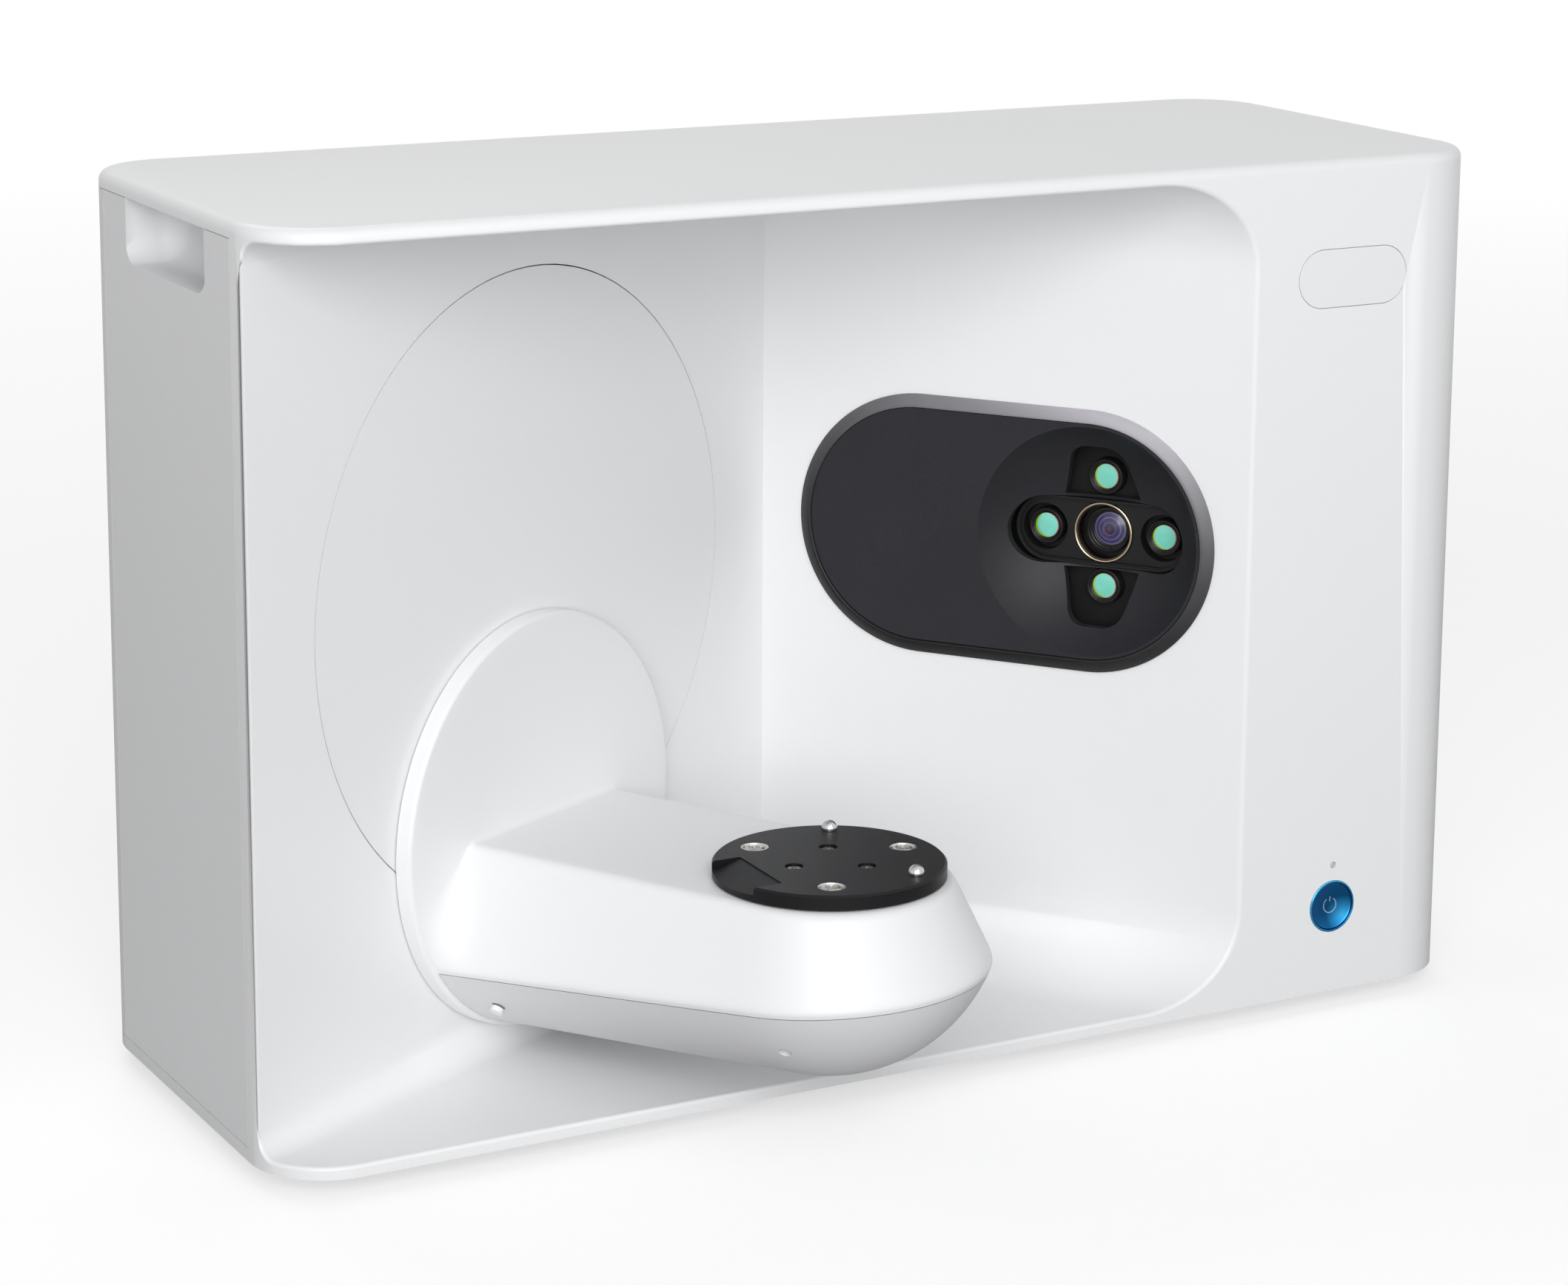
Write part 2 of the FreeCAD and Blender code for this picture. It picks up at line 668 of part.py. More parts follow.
def make_feet():
    spots = [(x, y) for x in ("-half_width + foot_inset", "half_width - foot_inset")
             for y in ("front_face + foot_inset", "back_face - foot_inset")]
    part("rubber_feet", [cone("foot_%d" % i, ("foot_radius - 1.5", "foot_radius"), (x, y, "0"), "foot_height")
                         for i, (x, y) in enumerate(spots)])


def make_base_frame():
    """A steel plate on the casing's floor, shaped round the back of the chamber walls."""
    def behind(frame, run, depth):
        x, y, z, turn = FRAMES[frame]
        return ("%s + (%s) * cos(%s) - %s * sin(%s)" % (x, run, turn, depth, turn),
                "%s + (%s) * sin(%s) + %s * cos(%s)" % (y, run, turn, depth, turn))

    left_end = behind("wall", "35 - disc_run", "frame_clear")
    outline = [("frame_clear - half_width", "rear_line"), ("corner_radius - half_width", "back_face - frame_clear"),
               ("half_width - corner_radius", "back_face - frame_clear"), ("half_width - frame_clear", "rear_line"),
               ("half_width - frame_clear", "front_face + 2 * frame_clear"),
               ("column_edge + 2 * frame_clear", "front_face + 2 * frame_clear"),
               behind("camera", "40", "frame_clear"), behind("camera", "12 - lens_run", "frame_clear"),
               behind("wall", "wall_run - disc_run - 12", "frame_clear"), left_end,
               ("frame_clear - half_width", left_end[1])]
    part("base_frame", prism("base_frame_solid", "xy", "floor_plane + shell_wall + 0.1", "frame_top - floor_plane"
                             " - shell_wall - 0.1", draw_polygon, outline))


# ---------------------------------------------------------------- gears
def gear(name, teeth, bore, start, width, x, z, phase, lighten=0):
    """A spur gear about +Y with straight-sided teeth, thinned a little for backlash."""
    count, module = int(size(teeth)), size("gear_module")
    pitch = count * module / 2
    tip, root, half = pitch + module, pitch - 1.25 * module, math.pi * module / 4 * 0.94
    points = []
    for i in range(count):
        centre = 2 * math.pi * (i + phase) / count
        for radius, shift in ((root, -1.45 * half), (tip, -0.52 * half), (tip, 0.52 * half), (root, 1.45 * half)):
            angle = centre + shift / pitch
            points.append(Vector(radius * math.cos(angle), 0, radius * math.sin(angle)))
    solid = Part.Face(Part.makePolygon(points + points[:1])).extrude(Vector(0, value(width), 0))
    if bore:
        solid = solid.cut(Part.makeCylinder(value(bore), value(width) + 2, Vector(0, -1, 0), Vector(0, 1, 0)))
    for i in range(lighten):
        angle, middle = 2 * math.pi * (i + 0.5) / lighten, (value(bore) + root) / 2
        spot = Vector(middle * math.cos(angle), -1, middle * math.sin(angle))
        solid = solid.cut(Part.makeCylinder((root - value(bore)) * 0.3, value(width) + 2, spot, Vector(0, 1, 0)))
    wheel = doc.addObject("Part::Feature", name)
    wheel.Shape = solid
    return put(wheel, (x, start, z))


# ---------------------------------------------------------------- elevation drive, in the left wall's frame
def make_elevation_drive():
    disc_blank = fuse("disc_blank", rod("disc_face", "disc_radius", ("0", "0", "disc_z"), "disc_plate", "y"),
                      rod("arm_boss", "arm_boss_radius", ("0", "disc_plate", "arm_z"), "arm_boss_length", "y"))
    seat = rod("arm_bearing_seat", "arm_shaft_radius + arm_race + running_fit", ("0", "arm_bearing_y", "arm_z"),
               "disc_plate + arm_boss_length", "y")
    passage = rod("arm_shaft_passage", "arm_shaft_radius + 1.5", ("0", "-5", "arm_z"), "40", "y")
    part("elevation_disc", cut("elevation_disc_solid", disc_blank, seat, passage), "wall")
    part("arm_bearing", tube("arm_bearing_solid", "arm_shaft_radius + arm_race", "arm_shaft_radius + running_fit",
                             ("0", "arm_bearing_y", "arm_z"), "bearing_width", "y"), "wall")
    hub = fuse("hub_blank", rod("hub_flange_disc", "hub_flange", ("0", "disc_plate", "disc_z"), "6", "y"),
               rod("hub_tube", "hub_radius", ("0", "disc_plate", "disc_z"), "hub_length", "y"))
    part("elevation_hub", cut("elevation_hub_solid", hub, rod("hub_hollow", "hub_bore", ("0", "0", "disc_z"),
                                                              "hub_length + 20", "y")), "wall")
    part("elevation_gear", gear("elevation_gear_solid", "elevation_teeth", "hub_radius + running_fit",
                                "elevation_gear_y", "gear_width", "0", "disc_z", ELEVATION_PHASE, 8), "wall")
    part("elevation_bearing", tube("elevation_bearing_solid", "hub_radius + elevation_race",
                                   "hub_radius + running_fit", ("0", "chassis_depth - 3", "disc_z"),
                                   "bearing_width", "y"), "wall")
    make_chassis()
    pinion_x, pinion_z = "-elevation_gap * cos(45)", "disc_z + elevation_gap * sin(45)"
    make_motor("elevation_motor", pinion_x, "chassis_depth + chassis_plate_t", pinion_z, "motor_length", -1)
    make_pinion("elevation_pinion", pinion_x, pinion_z, "elevation_gear_y", "elevation_gear_y",
                "chassis_depth + chassis_plate_t + motor_bore_depth - 3", PINION_PHASE)
    arm_x, arm_motor_z = "-arm_gap * cos(20)", "arm_z + arm_gap * sin(20)"
    make_motor("arm_motor", arm_x, "disc_plate", arm_motor_z, "flat_motor_length", 1)
    make_pinion("arm_pinion", arm_x, arm_motor_z, "arm_gear_y", "disc_plate + 6", "arm_gear_y + gear_width",
                ARM_PINION_PHASE)


def mesh_phase(teeth, angle):
    """Turn, in teeth, that puts a tooth gap of a gear at an angle (degrees)."""
    return angle / 360 * int(size(teeth)) - 0.5


# a tooth of the wheel points at the pinion, and a gap of the pinion faces it
ELEVATION_PHASE = 135 / 360 * int(size("elevation_teeth"))
PINION_PHASE = mesh_phase("pinion_teeth", 315)
ARM_PHASE = 160 / 360 * int(size("arm_teeth"))
ARM_PINION_PHASE = mesh_phase("pinion_teeth", 340)


def make_motor(label, x, face, z, length, side):
    """A square motor with a pilot ring and a bore for its shaft; side 1 puts the pilot at its far end."""
    body = block(label + "_case", (x + " - motor_side / 2", face, z + " - motor_side / 2"),
                 ("motor_side", length, "motor_side"))
    far = face + " + " + length if side > 0 else face + " - motor_pilot_length"
    bore = far + " + motor_pilot_length - motor_bore_depth" if side > 0 else far
    pilot = rod(label + "_pilot", "motor_pilot", (x, far, z), "motor_pilot_length", "y")
    hole = rod(label + "_bore", "motor_shaft_radius + running_fit", (x, bore, z), "motor_bore_depth", "y")
    part(label, cut(label + "_solid", fuse(label + "_blank", body, pilot), hole), "wall")


def make_pinion(label, x, z, start, shaft_start, shaft_end, phase):
    """A pinion and the motor shaft that it is fixed to."""
    wheel = gear(label + "_wheel", "pinion_teeth", "", start, "gear_width", x, z, phase)
    shaft = rod(label + "_shaft", "motor_shaft_radius", (x, shaft_start, z),
                "(%s) - (%s)" % (shaft_end, shaft_start), "y")
    part(label, fuse(label + "_solid", wheel, shaft), "wall")


def make_chassis():
    plate = block("chassis_plate_blank", ("-chassis_left", "chassis_depth", "frame_top"),
                  ("chassis_left + chassis_right", "chassis_plate_t", "chassis_top - frame_top"))
    foot = block("chassis_foot", ("-chassis_left + 15", "chassis_depth", "frame_top"),
                 ("chassis_left + 5", "chassis_plate_t + 20", "6"))
    ring = rod("bearing_hole", "hub_radius + elevation_race + running_fit", ("0", "chassis_depth - 10", "disc_z"),
               "40", "y")
    pilot = rod("pilot_hole", "motor_pilot + 0.3", ("-elevation_gap * cos(45)", "chassis_depth - 10",
                                                    "disc_z + elevation_gap * sin(45)"), "18", "y")
    window = block("chassis_window", ("-chassis_left + 20", "chassis_depth - 5", "frame_top + 25"),
                   ("chassis_left + chassis_right - 40", "chassis_plate_t + 10", "60"))
    part("chassis_plate", cut("chassis_solid", fuse("chassis_blank", plate, foot), ring, pilot, window), "wall")


# ---------------------------------------------------------------- arm, in the left wall's frame
def arm_taper(name, inset):
    """The arm's top half: slanted sides from the ridge up to the flat top, drawn in by an inset."""
    body = doc.addObject("PartDesign::Body", name)
    outlines = []
    for level, root, nose in (("ridge", "ridge_half_root", "ridge_half_nose"),
                              ("top", "arm_top_half", "arm_top_half")):
        sketch = new_sketch(body, "xy", draw_bullet, "%s - %s" % (root, inset), "%s - %s" % (nose, inset),
                            "arm_reach")
        outlines.append(sketch)
        if level == "ridge":
            sketch.AttachmentOffset = Placement(Vector(), Rotation(Vector(1, 0, 0), -1))
            bind(sketch, AttachmentOffset__Base__z="foot_height + ridge_height",
                 AttachmentOffset__Rotation__Angle="-ridge_tilt")
        else:
            bind(sketch, AttachmentOffset__Base__z="arm_top - " + inset)
    loft = body.newObject("PartDesign::AdditiveLoft", name + "_loft")
    loft.Profile = outlines[0]
    loft.Sections = [outlines[1]]
    loft.Ruled = True
    return body


def arm_hull(name, inset):
    """The arm's belly: a cone that narrows from the wall to a round nose, drawn in by an inset."""
    nose = "(nose_radius - %s)" % inset
    root = "(hull_root_radius - %s)" % inset
    taper = "asin((hull_root_radius - nose_radius) / hull_span)"
    trunk = cone(name + "_trunk", (root, "%s * cos(%s)" % (nose, taper)), ("0", "0", "arm_z"),
                 "hull_span + %s * sin(%s)" % (nose, taper), "-y")
    trunk.Placement = Placement(Vector(), Rotation(Vector(1, 0, 0), 91))
    bind(trunk, Placement__Rotation__Angle="90 + arm_fall")
    return fuse(name, trunk, ball(name + "_nose", nose, ("0", "-arm_reach", "nose_centre")))


def below_plane(name, height, front="-arm_disc_gap", drop="100"):
    """A big box whose top face is the arm's rising parting plane, in front of a line."""
    box = block(name, ("-150", "-300", "-%s" % drop), ("300", "300", drop))
    tilted = doc.addObject("Part::Compound", name + "_tilted")
    tilted.Links = [box]
    tilted.Placement = Placement(Vector(), Rotation(Vector(1, 0, 0), -1))
    bind(tilted, Placement__Base__z="foot_height + " + height, Placement__Rotation__Angle="-ridge_tilt")
    limit = block(name + "_limit", ("-150", "-300", "0"), ("300", "300 + (%s)" % front, "300"))
    return common(name + "_zone", tilted, limit)


def plug_spots():
    for x_sign in ("-", ""):
        for y, radius in (("-25", "plug_root"), ("-arm_reach - 12", "plug_nose")):
            yield x_sign, y, radius


def plug_rod(name, sign, y, grow, start, length):
    """A round plug or its hole, square to the belly at 45 degrees, between two depths."""
    peg = rod(name, "plug_radius + " + grow, ("%s(%s) * sin(45)" % (sign, start), y,
                                              "nose_centre + 3 - (%s) * sin(45)" % start), length)
    peg.Placement = Placement(Vector(), Rotation(Vector(0, 1, 0), -135 if sign else 135))
    return peg


def make_arm_shells():
    disc = rod("arm_disc_blank", "arm_disc_radius", ("0", "-arm_disc_gap", "arm_z"), "arm_disc_plate", "-y")
    rim_line = size("arm_disc_gap") + size("arm_disc_plate")
    disc_round = round_edges("arm_disc_round", disc, size("arm_disc_rounding"),
                             lambda edge: all(near(v.Y, -rim_line) for v in edge.Vertexes))
    pocket = rod("arm_disc_pocket", "flange_radius + 1", ("0", "0", "arm_z"), "arm_disc_gap + arm_disc_plate - 2",
                 "-y")
    band = common("arm_band", cut("arm_band_hull", arm_hull("outer_hull", "0"), below_plane("seam_cut",
                                                                                       "seam_height")),
                  below_plane("ridge_cut", "ridge_height"))
    outside = fuse("arm_upper_blank", disc_round, band, arm_taper("outer_taper", "0.6"), *gussets())
    inside = common("arm_band_inner", cut("arm_band_inner_hull", arm_hull("inner_hull", "arm_wall"),
                                          below_plane("inner_seam_cut", "seam_height")),
                    below_plane("inner_ridge_cut", "ridge_height + 0.2"))
    spindle_hole = rod("spindle_hole", "spindle_radius + 1.5", ("0", "-arm_reach", "arm_top - 10"), "20")
    seam = "arm_disc_gap + arm_disc_plate"
    behind = block("behind_arm", ("-150", "-arm_disc_gap", "0"), ("300", "60", "300"))
    part("arm_upper_shell", cut("arm_upper_solid", outside, pocket, inside, arm_taper("inner_taper", "arm_wall"),
                                spindle_hole, behind), "wall")
    belly = common("arm_belly", arm_hull("belly_hull", "0"),
                   below_plane("belly_cut", "seam_height - seam_gap", "-(%s) - seam_gap" % seam))
    holes = [plug_rod("plug_hole_%d" % i, sign, y, "0.1", radius + " - 8", "16")
             for i, (sign, y, radius) in enumerate(plug_spots())]
    part("arm_lower_shell", cut("arm_lower_solid", belly, arm_hull("belly_hollow", "arm_wall"), *holes), "wall")
    part("arm_screw_plugs", [plug_rod("plug_%d" % i, sign, y, "0", radius + " - 2.6", "1.9")
                             for i, (sign, y, radius) in enumerate(plug_spots())], "wall")


def gussets():
    """Three-sided webs that blend the arm's sides into its disc."""
    face = -(size("arm_disc_gap") + size("arm_disc_plate")) + 1
    top, low = size("arm_top") - 0.6, value("foot_height + ridge_height")
    rim, half = value("foot_height + gusset_height"), size("arm_top_half")
    webs = []
    for sign in (-1, 1):
        corners = [Vector(sign * (half - 2), face, top), Vector(sign * size("gusset_half"), face, rim),
                   Vector(sign * (size("ridge_half_root") - 3), face, low),
                   Vector(sign * (size("ridge_half_root") - 2), face - size("gusset_run"), low + 1)]
        faces = [Part.Face(Part.makePolygon([corners[i] for i in order + order[:1]]))
                 for order in ([0, 1, 2], [0, 1, 3], [1, 2, 3], [0, 2, 3])]
        web = doc.addObject("Part::Feature", "gusset")
        web.Shape = Part.Solid(Part.Shell(faces))
        webs.append(web)
    return webs


def make_arm_inside():
    flange = rod("arm_flange", "flange_radius", ("0", "-arm_disc_gap - 0.6", "arm_z"), "flange_t", "-y")
    beam = block("arm_beam", ("-beam_half", "-arm_reach - 20", "beam_z"),
                 ("2 * beam_half", "arm_reach + 18.9", "beam_plate_t"))
    web_run = "arm_reach - belt_span - motor_side / 2 - web_clear"
    web = block("arm_web", ("-beam_plate_t", "-(%s)" % web_run, "nose_centre - beam_half"),
                ("2 * beam_plate_t", "%s - arm_disc_gap - 1" % web_run, "beam_z + 1 - nose_centre + beam_half"))
    housing = rod("bearing_housing", "spindle_radius + 9", ("0", "-arm_reach", "beam_z - 18"), "19")
    bore = rod("housing_bore", "spindle_radius + 5 + running_fit", ("0", "-arm_reach", "beam_z - 20"), "40")
    motor_hole = rod("table_motor_hole", "motor_pilot + 0.3", ("0", "table_motor_y", "beam_z - 5"), "20")
    part("arm_frame", cut("arm_frame_solid", fuse("arm_frame_blank", flange, beam, web, housing), bore, motor_hole),
         "wall")
    part("arm_shaft", tube("arm_shaft_solid", "arm_shaft_radius", "arm_shaft_bore", ("0", "-arm_disc_gap - 0.6",
                                                                                     "arm_z"),
                           "arm_shaft_length + arm_disc_gap + 0.6", "y"), "wall")
    part("arm_gear", gear("arm_gear_solid", "arm_teeth", "arm_shaft_radius + running_fit", "arm_gear_y",
                          "gear_width", "0", "arm_z", ARM_PHASE), "wall")
    part("turntable_bearing", tube("turntable_bearing_solid", "spindle_radius + 5", "spindle_radius + running_fit",
                                   ("0", "-arm_reach", "beam_z - 16"), "bearing_width + 4"), "wall")
    motor = fuse("table_motor_blank", block("table_motor_case", ("-motor_side / 2", "table_motor_y"
                                                                 " - motor_side / 2", "beam_z - motor_length"),
                                            ("motor_side", "motor_side", "motor_length")),
                 rod("table_motor_pilot", "motor_pilot", ("0", "table_motor_y", "beam_z"), "1.5"))
    part("turntable_motor", cut("table_motor_solid", motor,
                                rod("table_motor_bore", "motor_shaft_radius + running_fit",
                                    ("0", "table_motor_y", "beam_z - 20"), "40")), "wall")
    part("motor_pulley", fuse("motor_pulley_solid",
                              rod("motor_pulley_wheel", "motor_pulley_radius", ("0", "table_motor_y",
                                                                                "belt_z - 1"), "belt_width + 2"),
                              rod("motor_pulley_shaft", "motor_shaft_radius", ("0", "table_motor_y",
                                                                               "beam_z - 18"),
                                  "belt_z - beam_z + 18")), "wall")
    make_belt()


def belt_loop(gap):
    """A flat belt's outline round both pulleys, a gap outside them."""
    large, small = size("pulley_radius") + gap, size("motor_pulley_radius") + gap
    span, centre = size("belt_span"), -size("arm_reach")
    lean = math.acos((large - small) / span)
    spots = [Vector(r * math.sin(s * a), y + r * math.cos(a), 0) for r, y, s, a in
             ((large, centre, 1, lean), (large, centre, 1, math.pi), (large, centre, -1, lean),
              (small, centre + span, -1, lean), (small, centre + span, 1, 0), (small, centre + span, 1, lean))]
    return Part.Face(Part.Wire([Part.Arc(*spots[:3]).toShape(), Part.LineSegment(spots[2], spots[3]).toShape(),
                                Part.Arc(*spots[3:]).toShape(), Part.LineSegment(spots[5], spots[0]).toShape()]))


def make_belt():
    gap = size("running_fit")
    loop = belt_loop(gap + size("belt_thickness")).cut(belt_loop(gap)).extrude(Vector(0, 0, size("belt_width")))
    belt = doc.addObject("Part::Feature", "belt_solid")
    belt.Shape = loop
    part("turntable_belt", put(belt, ("0", "0", "belt_z")), "wall")


# ---------------------------------------------------------------- turntable, in the left wall's frame
SCREW_ANGLES = (25, 145, 265)
SMALL_ANGLES = (84, 204, 324)
PIN_ANGLES = (86, 326)
RAMP_ANGLE = 209


def on_table(radius, angle):
    """A spot on the turntable; angles run from +X of the wall frame towards the chamber."""
    return "(%s) * cos(%d)" % (radius, angle), "-arm_reach - (%s) * sin(%d)" % (radius, angle)


def make_turntable():
    low = "arm_top + table_gap"
    plate = rod("table_blank", "table_radius", ("0", "-arm_reach", low), "table_thickness")
    top = size("table_top")
    plate_round = round_edges("table_round", plate, size("table_chamfer"),
                              lambda edge: all(near(v.Z, top) for v in edge.Vertexes), "Part::Chamfer")
    tools = []
    for i, angle in enumerate(SCREW_ANGLES):
        x, y = on_table("screw_circle", angle)
        tools.append(cone("table_sink_%d" % i, ("screw_head_radius - 1.9", "screw_head_radius + 0.1"),
                          (x, y, "table_top - 2"), "2.001"))
    for i, angle in enumerate(SMALL_ANGLES):
        x, y = on_table("small_circle", angle)
        tools.append(rod("table_small_%d" % i, "small_hole_radius", (x, y, "table_top - 3.4"), "10"))
    for i, angle in enumerate(PIN_ANGLES):
        x, y = on_table("pin_circle", angle)
        tools.append(rod("table_pin_hole_%d" % i, "pin_stem + 0.05", (x, y, "table_top - 4"), "10"))
    tools.append(ramp_tool())
    part("turntable_plate", cut("turntable_solid", plate_round, *tools), "wall")
    part("turntable_spindle", rod("spindle_rod", "spindle_radius", ("0", "-arm_reach", low + " - spindle_length"),
                                  "spindle_length"), "wall")
    part("turntable_pulley", tube("table_pulley_solid", "pulley_radius", "spindle_radius + running_fit",
                                  ("0", "-arm_reach", "belt_z - 1"), "belt_width + 2"), "wall")
    part("turntable_screws", [
        cut("table_screw_%d" % i, cone("table_screw_head_%d" % i, ("screw_head_radius - 2", "screw_head_radius"),
                                       on_table("screw_circle", a) + ("table_top - 2",), "2"),
            key_recess("table_screw_hex_%d" % i, on_table("screw_circle", a) + ("table_top - 1.2",), "2.3"))
        for i, a in enumerate(SCREW_ANGLES)], "wall")
    part("turntable_small_screws", [
        cut("small_screw_%d" % i, rod("small_screw_head_%d" % i, "small_hole_radius - 0.9",
                                      on_table("small_circle", a) + ("table_top - 3.4",), "2.6"),
            key_recess("small_screw_hex_%d" % i, on_table("small_circle", a) + ("table_top - 2.2",), "1.3"))
        for i, a in enumerate(SMALL_ANGLES)], "wall")
    part("turntable_ball_pins", [
        fuse("ball_pin_%d" % i, ball("ball_%d" % i, "ball_radius", on_table("pin_circle", a)
                                     + ("table_top + ball_radius * 0.8",)),
             rod("ball_stem_%d" % i, "pin_stem", on_table("pin_circle", a) + ("table_top - 4",), "5"))
        for i, a in enumerate(PIN_ANGLES)], "wall")


def ramp_tool():
    """A wedge that cuts a sloping notch from a chord out to the turntable's rim."""
    tool = block("ramp_wedge", ("0", "-ramp_width / 2", "0"), ("30", "ramp_width", "20"))
    wedge = doc.addObject("Part::Compound", "ramp_wedge_placed")
    wedge.Links = [tool]
    drop = math.degrees(math.atan2(size("ramp_drop"), size("table_radius") - size("ramp_distance")))
    turn = Rotation(Vector(0, 0, 1), -RAMP_ANGLE)
    wedge.Placement = Placement(Vector(), turn * Rotation(Vector(0, 1, 0), drop))
    x, y = on_table("ramp_distance", RAMP_ANGLE)
    bind(wedge, Placement__Base__x=x, Placement__Base__y=y, Placement__Base__z="table_top - 0.4")
    return wedge


# ---------------------------------------------------------------- camera panel, in the right wall's frame
CAMERA_SPOTS = [("-camera_offset_x", "0"), ("camera_offset_x", "0"), ("0", "camera_offset_z"),
                ("0", "-camera_offset_z")]


def slot_prism(name, radius, start, length, left="-bezel_run", right="0"):
    return prism(name, "xz", start, length, draw_slot, left, right, "0", radius)


def dish(name, start, grow):
    """The round recess about the optics: a cap of a ball that meets the panel's face at the dish's rim, taken
    from a start line inwards, with its ball grown by a wall."""
    rim = rod(name + "_rim", "dish_radius + 0.3", ("0", start, "0"), "dish_depth + dish_wall + 2", "y")
    floor_ball = ball(name + "_ball", "dish_ball_radius + " + grow, ("0", "panel_face + dish_depth - dish_ball_radius",
                                                                    "0"))
    return common(name, rim, floor_ball)


def camera_cutout(name, sign):
    """The cut-out round an upper or lower camera: wide by the bar, narrow and well rounded by the rim."""
    near_line, far_line = sign + "cutout_near", sign + "cutout_far"
    blank = prism(name + "_blank", "xz", "panel_face - 5", "dish_depth + 20", draw_polygon,
                  [("-cutout_half_bar", near_line), ("cutout_half_bar", near_line), ("cutout_half_rim", far_line),
                   ("-cutout_half_rim", far_line)])
    far = value(far_line)
    return round_edges(name, blank, size("cutout_rounding"), lambda edge: all(near(v.Z, far) for v in edge.Vertexes)
                       and not near(edge.Vertexes[0].Y, edge.Vertexes[-1].Y))


def make_camera_panel():
    flange = slot_prism("bezel_front", "bezel_radius", "-bezel_proud", "bezel_proud")
    doc.recompute()
    front = -size("bezel_proud")
    bevel = round_edges("bezel_bevel", flange, size("bezel_bevel_size"),
                        lambda edge: all(near(v.Y, front) for v in edge.Vertexes), "Part::Chamfer")
    body = slot_prism("bezel_body", "bezel_body_radius", "-0.5", "bezel_back + 0.5")
    opening = slot_prism("bezel_opening", "bezel_radius - bezel_rim", "-10", "10 + bezel_back - 2")
    through = slot_prism("bezel_lip", "bezel_radius - bezel_rim - 0.9", "-10", "30")
    part("camera_bezel", cut("camera_bezel_solid", fuse("bezel_blank", bevel, body), opening, through), "camera")
    plate = slot_prism("panel_plate", "bezel_radius - bezel_rim - 0.25", "panel_face", "bezel_back - 2 - panel_face")
    bowl_out = dish("dish_outer", "panel_face + 1", "dish_wall")
    bar_hole = slot_prism("bar_hole", "bar_radius + 0.2", "panel_face - 1", "40", "-bar_half_run", "bar_half_run")
    part("camera_panel", cut("camera_panel_solid", fuse("panel_blank", plate, bowl_out), dish("dish_inner", "panel_face - 1", "0"),
                             bar_hole, camera_cutout("upper_hole", ""), camera_cutout("lower_hole", "-")),
         "camera")
    bar = slot_prism("bar_blank", "bar_radius", "optics_depth", "bar_thickness", "-bar_half_run", "bar_half_run")
    bar_floor = slot_prism("bar_floor", "bar_radius - 1.6", "optics_depth - 1", "2.6", "-bar_half_run",
                           "bar_half_run")
    bar_holes = [rod("bar_camera_hole_%d" % i, "barrel_radius + bar_hole_clear", (x, "0", z), "60", "y")
                 for i, (x, z) in enumerate(CAMERA_SPOTS[:2])]
    part("optics_bar", cut("optics_bar_solid", bar, bar_floor, rod("bar_lens_hole", "ring_radius + 0.1",
                                                                   ("0", "0", "0"), "60", "y"), *bar_holes),
         "camera")
    part("projector_ring", tube("projector_ring_solid", "ring_radius", "ring_radius - 1",
                                ("0", "ring_face", "0"), "6", "y"), "camera")
    part("projector_barrel", tube("projector_barrel_solid", "ring_radius - 1.1", "projector_lens_radius + 0.05",
                                  ("0", "ring_face + 0.9", "0"), "engine_y - ring_face - 0.9", "y"), "camera")
    lens = common("projector_lens_solid", rod("projector_glass", "projector_lens_radius", ("0", "optics_depth",
                                                                                         "0"), "14", "y"),
                  ball("projector_glass_ball", "projector_lens_radius * 1.5",
                       ("0", "optics_depth + 4 + projector_lens_radius * 1.5", "0")))
    part("projector_lens", lens, "camera")
    part("camera_barrels", [tube("camera_barrel_%d" % i, "barrel_radius", "lens_radius + 0.05",
                                 (x, "camera_face", z), "barrel_length", "y")
                            for i, (x, z) in enumerate(CAMERA_SPOTS)], "camera")
    part("camera_lenses", [rod("camera_lens_%d" % i, "lens_radius", (x, "camera_face + 1", z), "glass_thickness",
                               "y") for i, (x, z) in enumerate(CAMERA_SPOTS)], "camera")
    part("camera_bodies", [block("camera_body_%d" % i, (x + " - camera_body_side / 2", "camera_face + barrel_length",
                                                        z + " - camera_body_side / 2"),
                                 ("camera_body_side", "camera_body_length", "camera_body_side"))
                           for i, (x, z) in enumerate(CAMERA_SPOTS)], "camera")
    fins = [block("engine_fin_%d" % i, ("%g * fin_pitch - fin_thickness / 2" % (i - 3), "engine_y + fin_pitch",
                                        "engine_half_tall - 1"),
                  ("fin_thickness", "engine_length - 2 * fin_pitch", "fin_tall + 1")) for i in range(7)]
    case = block("engine_case", ("-engine_half", "engine_y", "-engine_half_tall"),
                 ("2 * engine_half", "engine_length", "2 * engine_half_tall"))
    part("projector_engine", fuse("engine_solid", case, *fins), "camera")
    make_camera_bracket()


